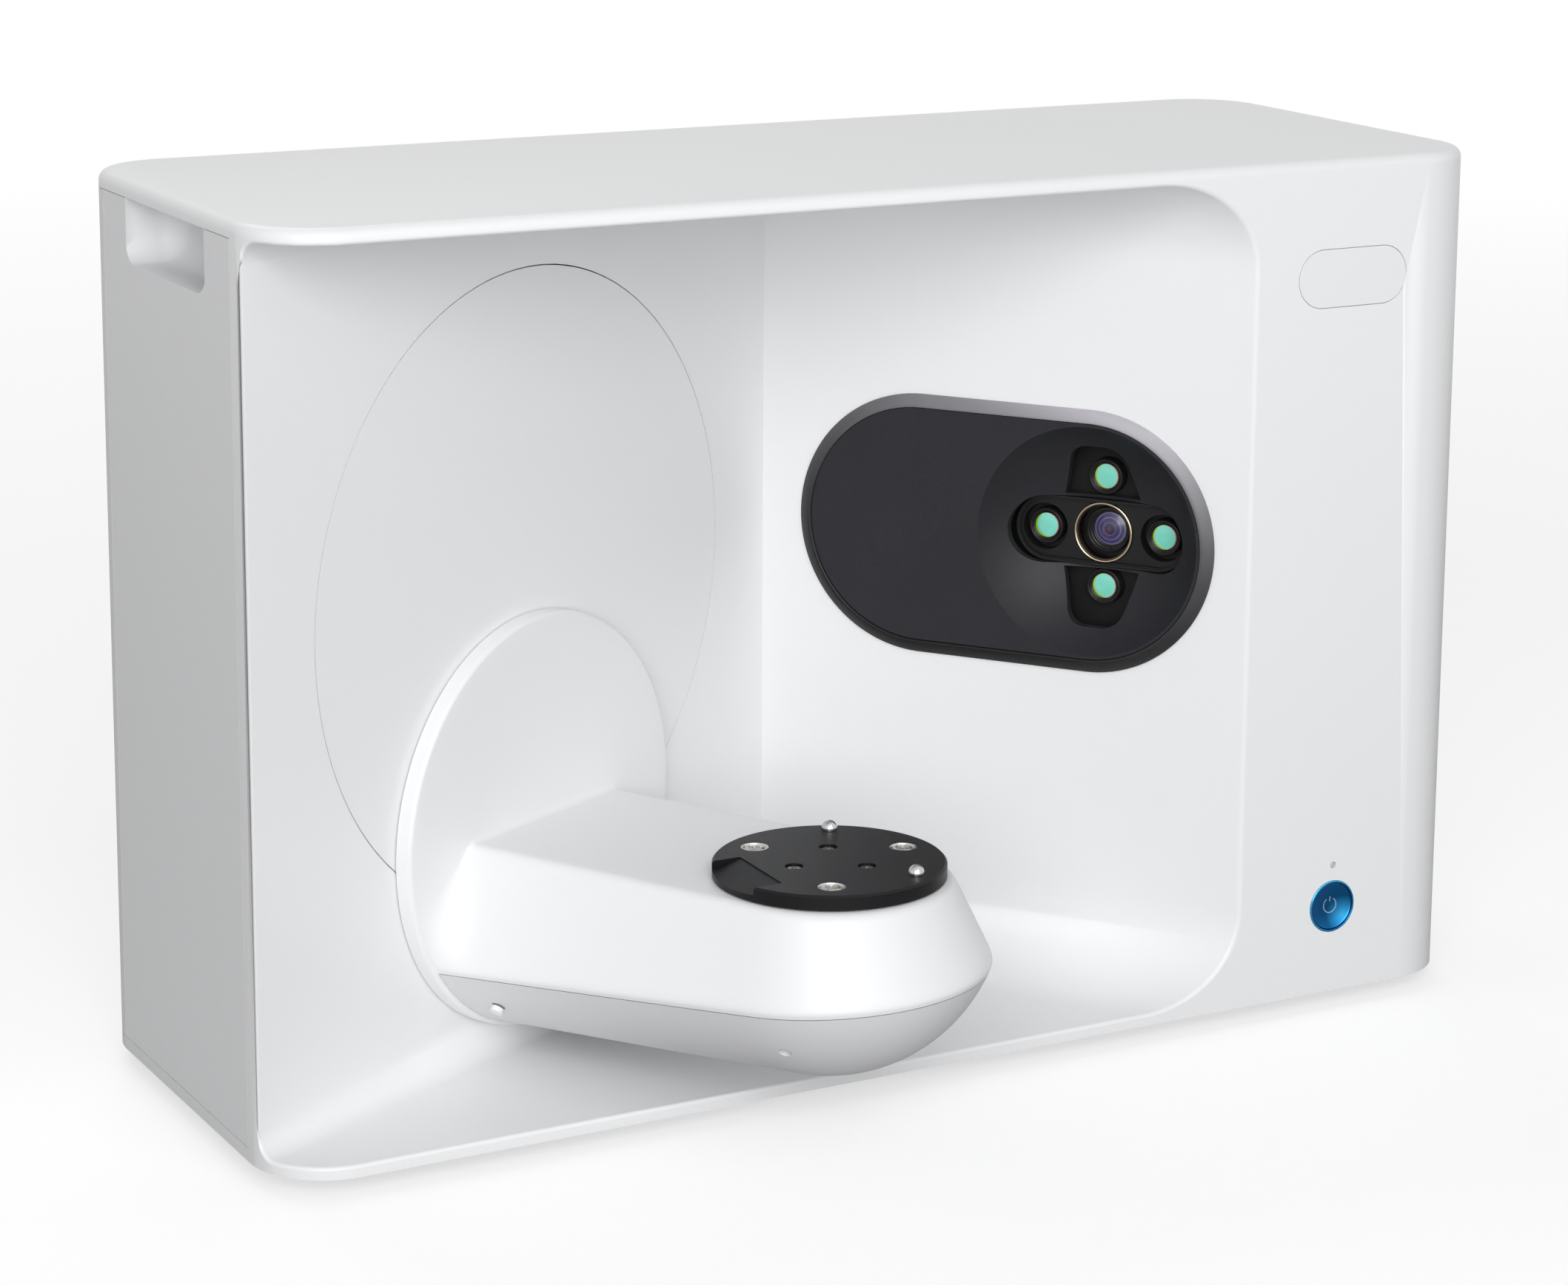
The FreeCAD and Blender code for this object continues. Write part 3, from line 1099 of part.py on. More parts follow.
def make_camera_bracket():
    """A steel angle behind the optics, with two rails that carry the projector."""
    low, thick = "frame_top - lens_z", "bracket_plate_t"
    plate = block("bracket_plate", ("-bracket_half", "bracket_y", low), ("2 * bracket_half", thick,
                                                                         "bracket_half - (%s)" % low))
    foot = block("bracket_foot", ("-bracket_half", "bracket_y", low), ("2 * bracket_half", "bracket_foot_run", thick))
    rails = [block("bracket_rail_%d" % i, (x, "bracket_y", "-engine_half_tall - " + thick),
                   ("rail_width", "engine_end - bracket_y", thick))
             for i, x in enumerate(("-engine_half", "engine_half - rail_width"))]
    deep = "bracket_y + 2 * " + thick
    holes = [rod("bracket_hole_%d" % i, "barrel_radius + 0.2", (x, "0", z), deep, "y")
             for i, (x, z) in enumerate(CAMERA_SPOTS)]
    lens_hole = rod("bracket_lens_hole", "ring_radius - 0.9", ("0", "0", "0"), deep, "y")
    part("camera_bracket", cut("bracket_solid", fuse("bracket_blank", plate, foot, *rails), lens_hole, *holes),
         "camera")


# ---------------------------------------------------------------- front column fittings
def make_column_fittings():
    part("badge_plate", prism("badge_solid", "xz", "front_face", "badge_sink", draw_slot,
                              "fitting_x - badge_half_run", "fitting_x + badge_half_run", "badge_z",
                              "badge_radius - seam_gap"))
    part("light_pipe", [rod("light_rod", "light_radius - 0.05", ("fitting_x", "front_face + 0.2", "light_z"), "6",
                            "y")])
    at = lambda depth: ("fitting_x", "front_face + " + depth, "button_z")
    part("button_rim", tube("button_rim_solid", "button_radius + button_rim - 0.05", "button_radius",
                            ("fitting_x", "front_face - 0.3", "button_z"), "shell_wall + 0.3", "y"))
    dish_ball = ball("button_dish", "button_dish_radius", ("fitting_x", "front_face + 0.9 - button_dish_radius",
                                                           "button_z"))
    cap = cut("button_cap", rod("button_blank", "button_radius - 0.15", at("0.1"), "3.2", "y"), dish_ball)
    part("power_button", fuse("power_button_solid", cap, rod("button_stem", "3", at("3"), "8", "y")))
    housing = cut("housing_shape", rod("housing_blank", "button_radius + 3.5", at("shell_wall"), "15", "y"),
                  rod("housing_front", "button_radius + 0.6", at("shell_wall - 1"), "6", "y"),
                  rod("housing_guide", "3 + running_fit", at("0"), "30", "y"),
                  rod("housing_back", "button_radius + 0.6", at("10"), "30", "y"))
    part("button_housing", housing)
    part("button_switch", fuse("switch_solid", rod("switch_board", "button_radius + 0.5", at("14"), "1.6", "y"),
                               block("switch_body", ("fitting_x - 3.5", "front_face + 12.5", "button_z - 3.5"),
                                     ("7", "2", "7"))))


# ---------------------------------------------------------------- rear fittings, board, supply, fan
def make_rear_fittings():
    inlet = block("inlet_blank", ("inlet_x - inlet_width / 2", "back_face - inlet_depth", "inlet_z - inlet_tall / 2"),
                  ("inlet_width", "inlet_depth", "inlet_tall"))
    cavity = block("inlet_cavity", ("inlet_x - inlet_width / 2 + 2", "back_face - inlet_depth + 6",
                                    "inlet_z - inlet_tall / 2 + 2"), ("inlet_width - 4", "inlet_depth",
                                                                      "inlet_tall - 4"))
    blades = [block("inlet_blade_%d" % i, (x, "back_face - inlet_depth + 5", z), ("2", "inlet_depth - 9", "4"))
              for i, (x, z) in enumerate((("inlet_x - 1", "inlet_z + 1"), ("inlet_x - 8", "inlet_z - 6"),
                                          ("inlet_x + 6", "inlet_z - 6")))]
    part("power_inlet", fuse("inlet_solid", cut("inlet_shell", inlet, cavity), *blades))
    pivot = ("rocker_x - rocker_width / 2 + 0.5", "back_face - rocker_pivot", "inlet_z")
    well = block("rocker_well", ("rocker_x - rocker_width / 2 + fitting_wall", "back_face - rocker_depth + 4",
                                 "inlet_z - inlet_tall / 2 + 1.2"),
                 ("rocker_width - 2 * fitting_wall", "20", "inlet_tall - 2.4"))
    part("rocker_frame", cut("rocker_frame_solid", block("rocker_frame_blank", (
        "rocker_x - rocker_width / 2", "back_face - rocker_depth", "inlet_z - inlet_tall / 2"),
        ("rocker_width", "rocker_depth", "inlet_tall")), well,
        rod("rocker_bearing", "rocker_pin_radius + running_fit", pivot, "rocker_width - 1", "x")))
    half = "rocker_width / 2 - fitting_wall - rocker_side_gap"
    paddle = prism("rocker_paddle", "yz", "-(%s)" % half, "2 * (%s)" % half, draw_polygon,
                   [("-3.5", "-4"), ("-3.5", "4"), ("3.9", "inlet_tall / 2 - 2.2"), ("2.6", "0"),
                    ("3.9", "2.2 - inlet_tall / 2")])
    rocker = doc.addObject("Part::Compound", "rocker_tilted")
    rocker.Links = [paddle]
    rocker.Placement = Placement(Vector(), Rotation(Vector(1, 0, 0), 1))
    bind(rocker, Placement__Base__x="rocker_x", Placement__Base__y="back_face - rocker_pivot",
         Placement__Base__z="inlet_z", Placement__Rotation__Angle="rocker_swing")
    pin_rod = rod("rocker_pin", "rocker_pin_radius", ("rocker_x - rocker_width / 2 + 0.6", pivot[1], pivot[2]),
                  "rocker_width - 1.2", "x")
    part("power_rocker", fuse("power_rocker_solid", rocker, pin_rod))
    shell = block("connector_blank", ("connector_x - connector_side / 2", "back_face - 16",
                                      "inlet_z - connector_side / 2"), ("connector_side", "16", "connector_side"))
    mouth = block("connector_mouth", ("connector_x - connector_side / 2 + 2", "back_face - 9",
                                      "inlet_z - connector_side / 2 + 2"), ("connector_side - 4", "20",
                                                                            "connector_side - 4"))
    tongue = block("connector_tongue", ("connector_x - 2.8", "back_face - 10", "inlet_z - 1.6"), ("5.6", "8", "3.2"))
    part("data_connector", fuse("connector_solid", cut("connector_shell", shell, mouth), tongue))


# chips on the main board: place and side in steps of the chip pitch, then height over the usual one
CHIPS = ((4, 4, 6, 1), (15, 12, 8, 0.8), (22, 3, 5, 1), (5, 15, 4, 1.3))


def make_electronics():
    left, low = "board_x - board_width / 2", "board_z - board_height / 2"
    board_y = "back_face - shell_wall - board_gap - board_sheet"
    chips = [block("chip_%d" % i, ("%s + %d * chip_pitch" % (left, x), "%s - %g * chip_height" % (board_y, tall),
                                   "%s + %d * chip_pitch" % (low, z)),
                   ("%d * chip_pitch" % side, "%g * chip_height" % tall, "%d * chip_pitch" % side))
             for i, (x, z, side, tall) in enumerate(CHIPS)]
    sheet_board = block("board_blank", (left, board_y, low), ("board_width", "board_sheet", "board_height"))
    part("main_board", fuse("board_solid", sheet_board, *chips))
    corners = [(x, z) for x in (left + " + standoff_inset", left + " + board_width - standoff_inset")
               for z in (low + " + standoff_inset", low + " + board_height - standoff_inset")]
    part("board_standoffs", [rod("standoff_%d" % i, "standoff_radius", (x, "back_face - shell_wall - board_gap", z),
                                 "board_gap", "y") for i, (x, z) in enumerate(corners)])
    part("power_supply", [block("supply_case", ("supply_x", "supply_y", "frame_top"),
                                ("supply_width", "supply_length", "supply_tall"))])


def make_fan():
    start = "back_face - shell_wall - fan_depth"
    case = block("fan_case", ("fan_x - fan_side / 2", start, "fan_z - fan_side / 2"), ("fan_side", "fan_depth",
                                                                                     "fan_side"))
    bore = rod("fan_bore_hole", "fan_bore", ("fan_x", start + " - 5", "fan_z"), "fan_depth + 10", "y")
    strut_y = start + " + fan_depth - 2"
    struts = [block("fan_strut_%d" % i, at, dims) for i, (at, dims) in enumerate((
        (("fan_x - fan_side / 2 + 1", strut_y, "fan_z - fan_guard"), ("fan_side - 2", "2", "2 * fan_guard")),
        (("fan_x - fan_guard", strut_y, "fan_z - fan_side / 2 + 1"), ("2 * fan_guard", "2", "fan_side - 2"))))]
    post = rod("fan_post", "fan_post_radius", ("fan_x", start + " + 3", "fan_z"), "fan_depth - 3", "y")
    part("fan_frame", fuse("fan_frame_solid", cut("fan_ring", case, bore), post, *struts))
    hub = rod("fan_hub", "fan_hub_radius", ("fan_x", start + " + 1", "fan_z"), "fan_depth - 4", "y")
    blades = []
    for i in range(int(size("fan_blades"))):
        blade = doc.addObject("Part::Box", "fan_blade_%d" % i)
        bind(blade, Length="fan_bore - fan_hub_radius", Width="blade_thickness", Height="blade_width")
        around = Rotation(Vector(0, 1, 0), i * 360 / size("fan_blades"))
        spot = around.multVec(Vector(size("fan_hub_radius") - 1, 0, 0))
        blade.Placement = Placement(Vector(), around * Rotation(Vector(1, 0, 0), size("blade_tilt")))
        bind(blade, Placement__Base__x="fan_x + %g" % spot.x, Placement__Base__z="fan_z + %g" % spot.z,
             Placement__Base__y=start + " + 1 + (fan_depth - 4) * 0.7")
        blades.append(blade)
    sweep = tube("fan_sweep", "fan_bore - 1", "2", ("fan_x", start + " + 1", "fan_z"), "fan_depth - 4", "y")
    rotor = common("fan_rotor_blades", fuse("fan_blade_set", hub, *blades), sweep)
    socket = rod("rotor_bore", "fan_post_radius + running_fit", ("fan_x", start + " + 2.6", "fan_z"), "30", "y")
    part("fan_rotor", cut("fan_rotor_solid", rotor, socket))


make_front_shell()
make_side_panel("left_side_panel", -1)
make_side_panel("right_side_panel", 1)
make_rear_cover()
make_feet()
make_base_frame()
make_elevation_drive()
make_arm_shells()
make_arm_inside()
make_turntable()
make_camera_panel()
make_column_fittings()
make_rear_fittings()
make_electronics()
make_fan()

# ---------------------------------------------------------------- checks and export
doc.recompute()
for thing in doc.Objects:
    if "Invalid" in thing.State or "Error" in thing.State:
        raise RuntimeError("%s did not rebuild: %s" % (thing.Label, thing.State))
os.makedirs("parts", exist_ok=True)
for thing in PARTS:
    if thing.Shape.isNull() or not thing.Shape.isValid():
        raise RuntimeError(thing.Label + " has no valid shape")
    thing.Shape.exportStep(os.path.join("parts", thing.Label + ".step"))
    print("%-24s %2d solids %10.1f mm3" % (thing.Label, len(thing.Shape.Solids), thing.Shape.Volume))
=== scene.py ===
# %% [markdown]
# # A desktop 3D scanner
# A white casing with an open vee-shaped chamber stands on a bench. A big disc in the left wall swings an arm
# with a turntable, and four cameras round a projector look at it from a dark panel in the right wall.
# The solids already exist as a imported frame, in metres, with +Z up and -Y towards the user. This lesson gives
# them their looks: each cell either shapes one visible piece or mixes one finish, and prints what it made.

# %% Load the frame
import math
import bmesh
import bpy
import numpy as np
from mathutils import Matrix, Vector


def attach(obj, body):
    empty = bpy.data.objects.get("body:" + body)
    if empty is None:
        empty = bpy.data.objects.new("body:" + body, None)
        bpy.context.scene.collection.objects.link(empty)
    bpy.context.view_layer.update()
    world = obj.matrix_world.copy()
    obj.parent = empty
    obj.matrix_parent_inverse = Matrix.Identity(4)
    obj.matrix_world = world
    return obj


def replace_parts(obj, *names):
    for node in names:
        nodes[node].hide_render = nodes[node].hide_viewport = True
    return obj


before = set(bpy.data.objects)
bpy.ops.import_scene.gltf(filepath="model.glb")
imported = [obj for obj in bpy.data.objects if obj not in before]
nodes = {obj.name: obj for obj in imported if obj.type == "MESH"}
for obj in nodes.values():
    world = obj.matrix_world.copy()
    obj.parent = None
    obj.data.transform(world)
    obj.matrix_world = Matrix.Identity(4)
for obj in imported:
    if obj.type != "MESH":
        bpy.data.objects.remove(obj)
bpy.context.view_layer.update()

# %% [markdown]
# ## Camera
# The object is seen from the front left and a little above, from a metre and a half away with a long lens.
# The three axes of the camera are written out as unit vectors, so that nothing depends on a helper that aims
# at a target. A small lens shift slides the object to the middle of the sheet.

# %% Camera
EYE = Vector((-0.724295, -1.301786, 0.546942))
RIGHT = Vector((0.8646779, -0.5021477, 0.0134074))
UP = Vector((0.0884285, 0.1784354, 0.97997))
lens = bpy.data.cameras.new("bench_camera")
lens.sensor_width, lens.lens = 36.0, 93.357
lens.shift_x, lens.shift_y = -0.10, -0.14
lens.clip_start, lens.clip_end = 0.05, 50.0
camera = bpy.data.objects.new("bench_camera", lens)
camera.matrix_world = Matrix.Translation(EYE) @ Matrix((RIGHT, UP, RIGHT.cross(UP))).transposed().to_4x4()
bpy.context.scene.collection.objects.link(camera)
bpy.context.scene.camera = camera
print("camera distance in m:", round(EYE.length, 3))

# %% [markdown]
# ## Shader maths in plain Python
# A finish is a small program. Wiring it node by node hides the formula, so this class wraps one output socket
# and overloads the operators: `a * b + 0.2` adds two Math nodes and hands back the last one's output.
# Every other node comes from `node`, which takes a type, the settings to make first and the inputs.

# %% Socket class
class Finish:
    """A material under construction, with one method for any node."""

    def __init__(self, name, **principled):
        self.material = bpy.data.materials.new(name)
        self.material.use_nodes = True
        self.tree = self.material.node_tree
        self.shader = self.tree.nodes["Principled BSDF"]
        self.set(**principled)
        self.place = Sock(self, self.node("ShaderNodeTexCoord").node.outputs["Object"])

    def node(self, kind, settings=None, inputs=None, output=0):
        made = self.tree.nodes.new(kind)
        for key, wanted in (settings or {}).items():
            if key == "stops":
                ramp = made.color_ramp
                while len(ramp.elements) < len(wanted):
                    ramp.elements.new(0.5)
                for element, (position, colour) in zip(ramp.elements, wanted):
                    element.position, element.color = position, (*colour, 1.0)
            else:
                setattr(made, key, wanted)
        for key, wanted in (inputs or {}).items():
            self.plug(made.inputs[key], wanted)
        return Sock(self, made.outputs[output])

    def plug(self, socket, wanted):
        if isinstance(wanted, Sock):
            self.tree.links.new(wanted.out, socket)
        elif isinstance(wanted, tuple) and len(wanted) == 3 and len(socket.default_value) == 4:
            socket.default_value = (*wanted, 1.0)
        else:
            socket.default_value = wanted

    def set(self, **inputs):
        for key, wanted in inputs.items():
            self.plug(self.shader.inputs[key.replace("_", " ")], wanted)
        return self

    def noise(self, scale, detail=2.0, roughness=0.5):
        return self.node("ShaderNodeTexNoise", {}, {"Vector": self.place, "Scale": scale, "Detail": detail,
                                                    "Roughness": roughness})

    def blend(self, amount, one, other):
        return self.node("ShaderNodeMix", {"data_type": "RGBA"}, {0: amount, 6: one, 7: other}, 2)

    def ramp(self, factor, *stops):
        return self.node("ShaderNodeValToRGB", {"stops": stops}, {"Fac": factor})

    def bump(self, height, strength, distance):
        return self.node("ShaderNodeBump", {}, {"Height": height, "Strength": strength, "Distance": distance})

    def axis(self, index):
        return self.node("ShaderNodeSeparateXYZ", {}, {0: self.place}, index)


class Sock:
    """An output socket that answers to + - * /, with numbers or other sockets beside it."""

    def __init__(self, finish, out):
        self.finish, self.out, self.node = finish, out, out.node

    def maths(self, operation, *others):
        made = self.finish.tree.nodes.new("ShaderNodeMath")
        made.operation = operation
        for socket, wanted in zip(made.inputs, others):
            self.finish.plug(socket, wanted)
        return Sock(self.finish, made.outputs[0])

    def __add__(self, other): return self.maths("ADD", self, other)
    def __radd__(self, other): return self.maths("ADD", other, self)
    def __sub__(self, other): return self.maths("SUBTRACT", self, other)
    def __rsub__(self, other): return self.maths("SUBTRACT", other, self)
    def __mul__(self, other): return self.maths("MULTIPLY", self, other)
    def __truediv__(self, other): return self.maths("DIVIDE", self, other)


print("socket class ready")

# %% [markdown]
# ## White plastics
# The casing is injection-moulded and painted satin white, so it shows no grain at arm's length, only a very fine
# orange peel and faint clouding in the gloss. Two noises do that: a tight one feeds the bump and a wide one
# moves the roughness by a few hundredths. The disc and the covers are the same plastic with less gloss. The
# arm's belly is the same white made greyer as painted shade, for the shadow it sits in.

# %% White finishes
def white_plastic(name, colour, rough, grain, peel):
    f = Finish(name, Specular_IOR_Level=0.45, Coat_Weight=0.0)
    cloud, fine = f.noise(9.0, 3.0), f.noise(grain, 2.0, 0.6)
    f.set(Base_Color=f.blend(cloud * 0.5, colour, tuple(c * 0.975 for c in colour)),
          Roughness=rough + (cloud - 0.5) * 0.08 + (fine - 0.5) * 0.05,
          Normal=f.bump(fine, peel, 0.0002))
    return f.material


SHELL_WHITE = white_plastic("satin_white_shell", (0.86, 0.865, 0.875), 0.36, 1500.0, 0.10)
COVER_WHITE = white_plastic("textured_white_cover", (0.84, 0.845, 0.855), 0.50, 2600.0, 0.22)
# Painted shade: the belly's white is darker only because the belly lies in shadow.
BELLY_WHITE_PAINTED_SHADE = white_plastic("belly_white_painted_shade", (0.74, 0.745, 0.755), 0.48, 1800.0, 0.14)
DISC_WHITE = white_plastic("matt_white_disc", (0.85, 0.855, 0.865), 0.44, 1800.0, 0.14)
print("white finishes:", SHELL_WHITE.name, COVER_WHITE.name, DISC_WHITE.name)

# %% [markdown]
# ## Black parts and metals
# Anodised black and the charcoal panel are nearly flat, with a soft micro-texture. Machined metal keeps fine
# turning lines, which a noise stretched along one axis gives. The bezel's colour carries a painted highlight: it
# goes from graphite at its foot to silver at its top right, following the height and the width through one ramp.

# %% Dark finishes
def dark_finish(name, colour, rough, metal, grain, peel, dust=0.0):
    f = Finish(name, Metallic=metal, Specular_IOR_Level=0.22)
    fine, cloud = f.noise(grain, 3.0, 0.6), f.noise(25.0, 2.0)
    lighter = tuple(c * 1.3 + 0.004 + dust for c in colour)
    f.set(Base_Color=f.blend(cloud * 0.6, colour, lighter), Roughness=rough + (fine - 0.5) * 0.12,
          Normal=f.bump(fine, peel, 0.0002))
    return f.material


TABLE_BLACK = dark_finish("black_anodised_table", (0.004, 0.004, 0.005), 0.42, 0.0, 3200.0, 0.35)
PANEL_CHARCOAL = dark_finish("charcoal_panel", (0.020, 0.020, 0.024), 0.44, 0.0, 2600.0, 0.25)
BLACK_STEEL = dark_finish("blackened_steel", (0.008, 0.008, 0.009), 0.55, 0.0, 1800.0, 0.2)
OPTICS_BLACK = dark_finish("matt_optics_black", (0.010, 0.010, 0.011), 0.50, 0.0, 2200.0, 0.2)
BARREL_BLACK = dark_finish("black_barrel", (0.012, 0.012, 0.013), 0.28, 0.0, 1500.0, 0.1)
RUBBER = dark_finish("foot_rubber", (0.03, 0.03, 0.03), 0.75, 0.0, 900.0, 0.5, 0.01)
FITTING_BLACK = dark_finish("fitting_black", (0.015, 0.015, 0.016), 0.35, 0.0, 1200.0, 0.15)
print("dark finishes made")


# %% Metal finishes
def metal_finish(name, colour, rough, brush=0.0, direction=(1.0, 1.0, 1.0)):
    f = Finish(name, Metallic=1.0)
    spread = f.node("ShaderNodeMapping", {}, {"Vector": f.place, "Scale": direction})
    fine = f.node("ShaderNodeTexNoise", {}, {"Vector": spread, "Scale": 900.0, "Detail": 3.0})
    f.set(Base_Color=f.blend(fine, tuple(0.86 * c for c in colour), colour),
          Roughness=rough + (fine - 0.5) * 0.2, Normal=f.bump(fine, 0.05 + brush, 0.0001))
    return f.material


SCREW_STEEL = metal_finish("machined_screw_steel", (0.66, 0.65, 0.62), 0.28, 0.1)
BALL_CHROME = metal_finish("polished_ball", (0.58, 0.575, 0.57), 0.12)
RING_BRASS = metal_finish("polished_brass_ring", (0.74, 0.60, 0.42), 0.16)
RIM_CHROME = metal_finish("bright_button_rim", (0.62, 0.64, 0.68), 0.16)
ALUMINIUM = metal_finish("machined_aluminium", (0.72, 0.73, 0.74), 0.35, 0.1, (1.0, 1.0, 8.0))
ZINC_STEEL = metal_finish("zinc_plated_steel", (0.58, 0.59, 0.60), 0.42, 0.1)
MOTOR_DARK = metal_finish("motor_lacquer", (0.10, 0.10, 0.11), 0.45, 0.1)
print("metal finishes made")

# %% Circuit board finish
board = Finish("green_circuit_board", Coat_Weight=0.3)
tracks = board.node("ShaderNodeTexBrick", {"offset": 0.5}, {
    "Vector": board.place, "Color1": (0.02, 0.11, 0.04), "Color2": (0.03, 0.15, 0.06), "Mortar": (0.10, 0.32, 0.12),
    "Scale": 260.0, "Mortar Size": 0.06})
board.set(Base_Color=board.blend(board.noise(60.0) * 0.5, tracks, (0.02, 0.13, 0.05)),
          Roughness=0.42 + board.noise(300.0) * 0.2)
print("board finish made")

# %% Bezel finish with a painted highlight
bezel_painted_highlight_finish = Finish("satin_bezel_painted_highlight", Specular_IOR_Level=0.3)
# Painted highlight: the grey brightens upwards and to the right, where the satin bezel would reflect light.
painted_highlight_grade = (bezel_painted_highlight_finish.axis(2) - 0.1881) * 8.7 + (bezel_painted_highlight_finish.axis(0) - 0.1039) * 3.8 + 0.52
painted_highlight_greys = [(0.04, 0.008), (0.30, 0.028), (0.52, 0.065), (0.64, 0.105), (0.74, 0.16), (0.84, 0.24), (0.91, 0.36),
         (0.96, 0.47)]
bezel_painted_highlight_finish.set(Base_Color=bezel_painted_highlight_finish.ramp(painted_highlight_grade, *[(at, (g, 0.98 * g, 1.05 * g)) for at, g in painted_highlight_greys]),
                 Roughness=0.40 + (bezel_painted_highlight_finish.noise(1800.0) - 0.5) * 0.1)
BEZEL_PAINTED_HIGHLIGHT = bezel_painted_highlight_finish.material
# The fade to silver printed below is a painted highlight.
print("bezel fades from graphite to silver towards its top")

# %% [markdown]
# ## Surfaces from arrays
# Every new piece is a grid of points worked out in one go by numpy: rows run along a profile, columns run round
# or along a path. A profile turned about an axis gives rings and lenses, a profile carried round a long oval
# gives the bezel. The chamber's two walls are turned, so a point is first written in the wall's own frame
# (x along the wall, y into it, z up, in millimetres) and then turned into the object's.

# %% Wall frames
def wall_frame(x, y, z, degrees):
    """A function that turns wall points by an angle about z, moves them to the wall's origin, and gives metres."""
    c, s = math.cos(math.radians(degrees)), math.sin(math.radians(degrees))

    def place(points):
        p = np.asarray(points, float)
        turned_x, turned_y = c * p[..., 0] - s * p[..., 1], s * p[..., 0] + c * p[..., 1]
        return np.stack([turned_x + x, turned_y + y, p[..., 2] + z], axis=-1) / 1000.0

    return place


OPTICS = (103.87, 0.68, 188.1, -53.352)
left_wall = wall_frame(-115.36, 42.29, 0.0, 27.6)
right_wall = wall_frame(*OPTICS)
column = wall_frame(187.8, -52.61, 0.0, 0.0)
print("turntable centre in m:", left_wall([0.0, -135.5, 104.0]).round(4))


# %% Grid to mesh
def make_piece(name, grids, material, body, crease=32.0):
    """One mesh from point grids (rows x columns x 3). Cell (i, j) is the quad of its four corners, in that order
    or backwards where a grid comes with False. Equal points are welded, which closes seams and poles."""
    points, quads, start = [], [], 0
    for grid, forward in grids:
        rows, columns = grid.shape[:2]
        index = np.arange(rows * columns).reshape(rows, columns) + start
        quad = np.stack([index[:-1, :-1], index[1:, :-1], index[1:, 1:], index[:-1, 1:]], axis=-1).reshape(-1, 4)
        quads.append(quad if forward else quad[:, ::-1])
        points.append(grid.reshape(-1, 3))
        start += rows * columns
    mesh = bpy.data.meshes.new(name)
    mesh.from_pydata(np.concatenate(points).tolist(), [], np.concatenate(quads).tolist())
    work = bmesh.new()
    work.from_mesh(mesh)
    bmesh.ops.remove_doubles(work, verts=work.verts, dist=2e-6)
    bmesh.ops.dissolve_degenerate(work, edges=work.edges, dist=1e-7)
    work.to_mesh(mesh)
    work.free()
    mesh.shade_smooth()
    mesh.set_sharp_from_angle(angle=math.radians(crease))
    piece = bpy.data.objects.new(name, mesh)
    bpy.context.scene.collection.objects.link(piece)
    mesh.materials.append(material)
    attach(piece, body)
    print(name, "faces:", len(mesh.polygons))
    return piece


def winding(profile):
    """True where a profile runs anticlockwise, from twice its signed area: the sum of x0 y1 - x1 y0."""
    x, y = np.asarray(profile, float).T
    return bool((x * np.roll(y, -1) - np.roll(x, -1) * y).sum() > 0)


def turned(profile, place, centre, steps=64, axis="y"):
    """A profile of (radius, depth) rows turned about an axis through the centre: each point is the centre plus
    the radius times (cos, sin) across the axis, plus the depth along it."""
    profile, forward = np.asarray(profile, float), winding(profile)
    angle = np.linspace(0.0, 2.0 * math.pi, steps + 1)
    across, up = np.outer(profile[:, 0], np.cos(angle)), np.outer(profile[:, 0], np.sin(angle))
    along = np.repeat(profile[:, 1:2], steps + 1, axis=1)
    grid = np.stack([across, along, up] if axis == "y" else [across, -up, along], axis=-1)
    return place(grid + np.asarray(centre, float)), forward


def arc(centre, radius, start, end, steps=6):
    """Profile points on a circle arc between two angles in degrees."""
    angle = np.radians(np.linspace(start, end, steps))
    return [(centre[0] + radius * math.cos(a), centre[1] + radius * math.sin(a)) for a in angle]


def carried(profile, place, left, right, steps=40):
    """A profile of (radius, depth) carried round a long oval: half circles about two centres on a level line,
    joined by straight runs. Each column is a direction; the radius is laid off along it from its centre."""
    profile = np.asarray(profile, float)
    half = np.linspace(-math.pi / 2, math.pi / 2, steps)
    angle = np.concatenate([half, half + math.pi, half[:1]])
    middle = np.concatenate([np.full(steps, right), np.full(steps, left), [right]])
    x = middle + np.outer(profile[:, 0], np.cos(angle))
    z = np.outer(profile[:, 0], np.sin(angle))
    return place(np.stack([x, np.repeat(profile[:, 1:2], len(angle), axis=1), z], axis=-1)), winding(profile)


print("surface helpers ready")

# %% [markdown]
# ## Arm
# The arm's upper shell is a round plate against the swinging disc, with a long body that reaches out of it and
# ends in a round nose. Its sides lean in from a rolled ridge to a flat top, and flare out where they meet the
# plate. It could be a block with bevels, but bevels of changing width pinch. So one section is carried along the
# outline: up a narrow band that follows the belly, round the ridge, up the side, round the top edge, and in.

# %% Belly line
REACH, TOP, TABLE_TOP = 135.5, 98.0, 104.0


def outside_hull(x, n, z):
    """How far a point lies outside the belly: a cone whose axis starts 97 mm up and falls 3.168 degrees, 77.3 mm
    in radius at the wall, that narrows to a ball of 63 mm about the turntable's axis."""
    fall = math.radians(3.168)
    along = n * math.cos(fall) + (97.0 - z) * math.sin(fall)
    off = np.hypot(x, n * math.sin(fall) + (z - 97.0) * math.cos(fall))
    ball = np.sqrt(np.maximum(63.0 ** 2 - np.maximum(along - 135.707, 0.0) ** 2, 0.0))
    return off - np.where(along < 142.3, 77.3 - 0.1029 * along, ball)


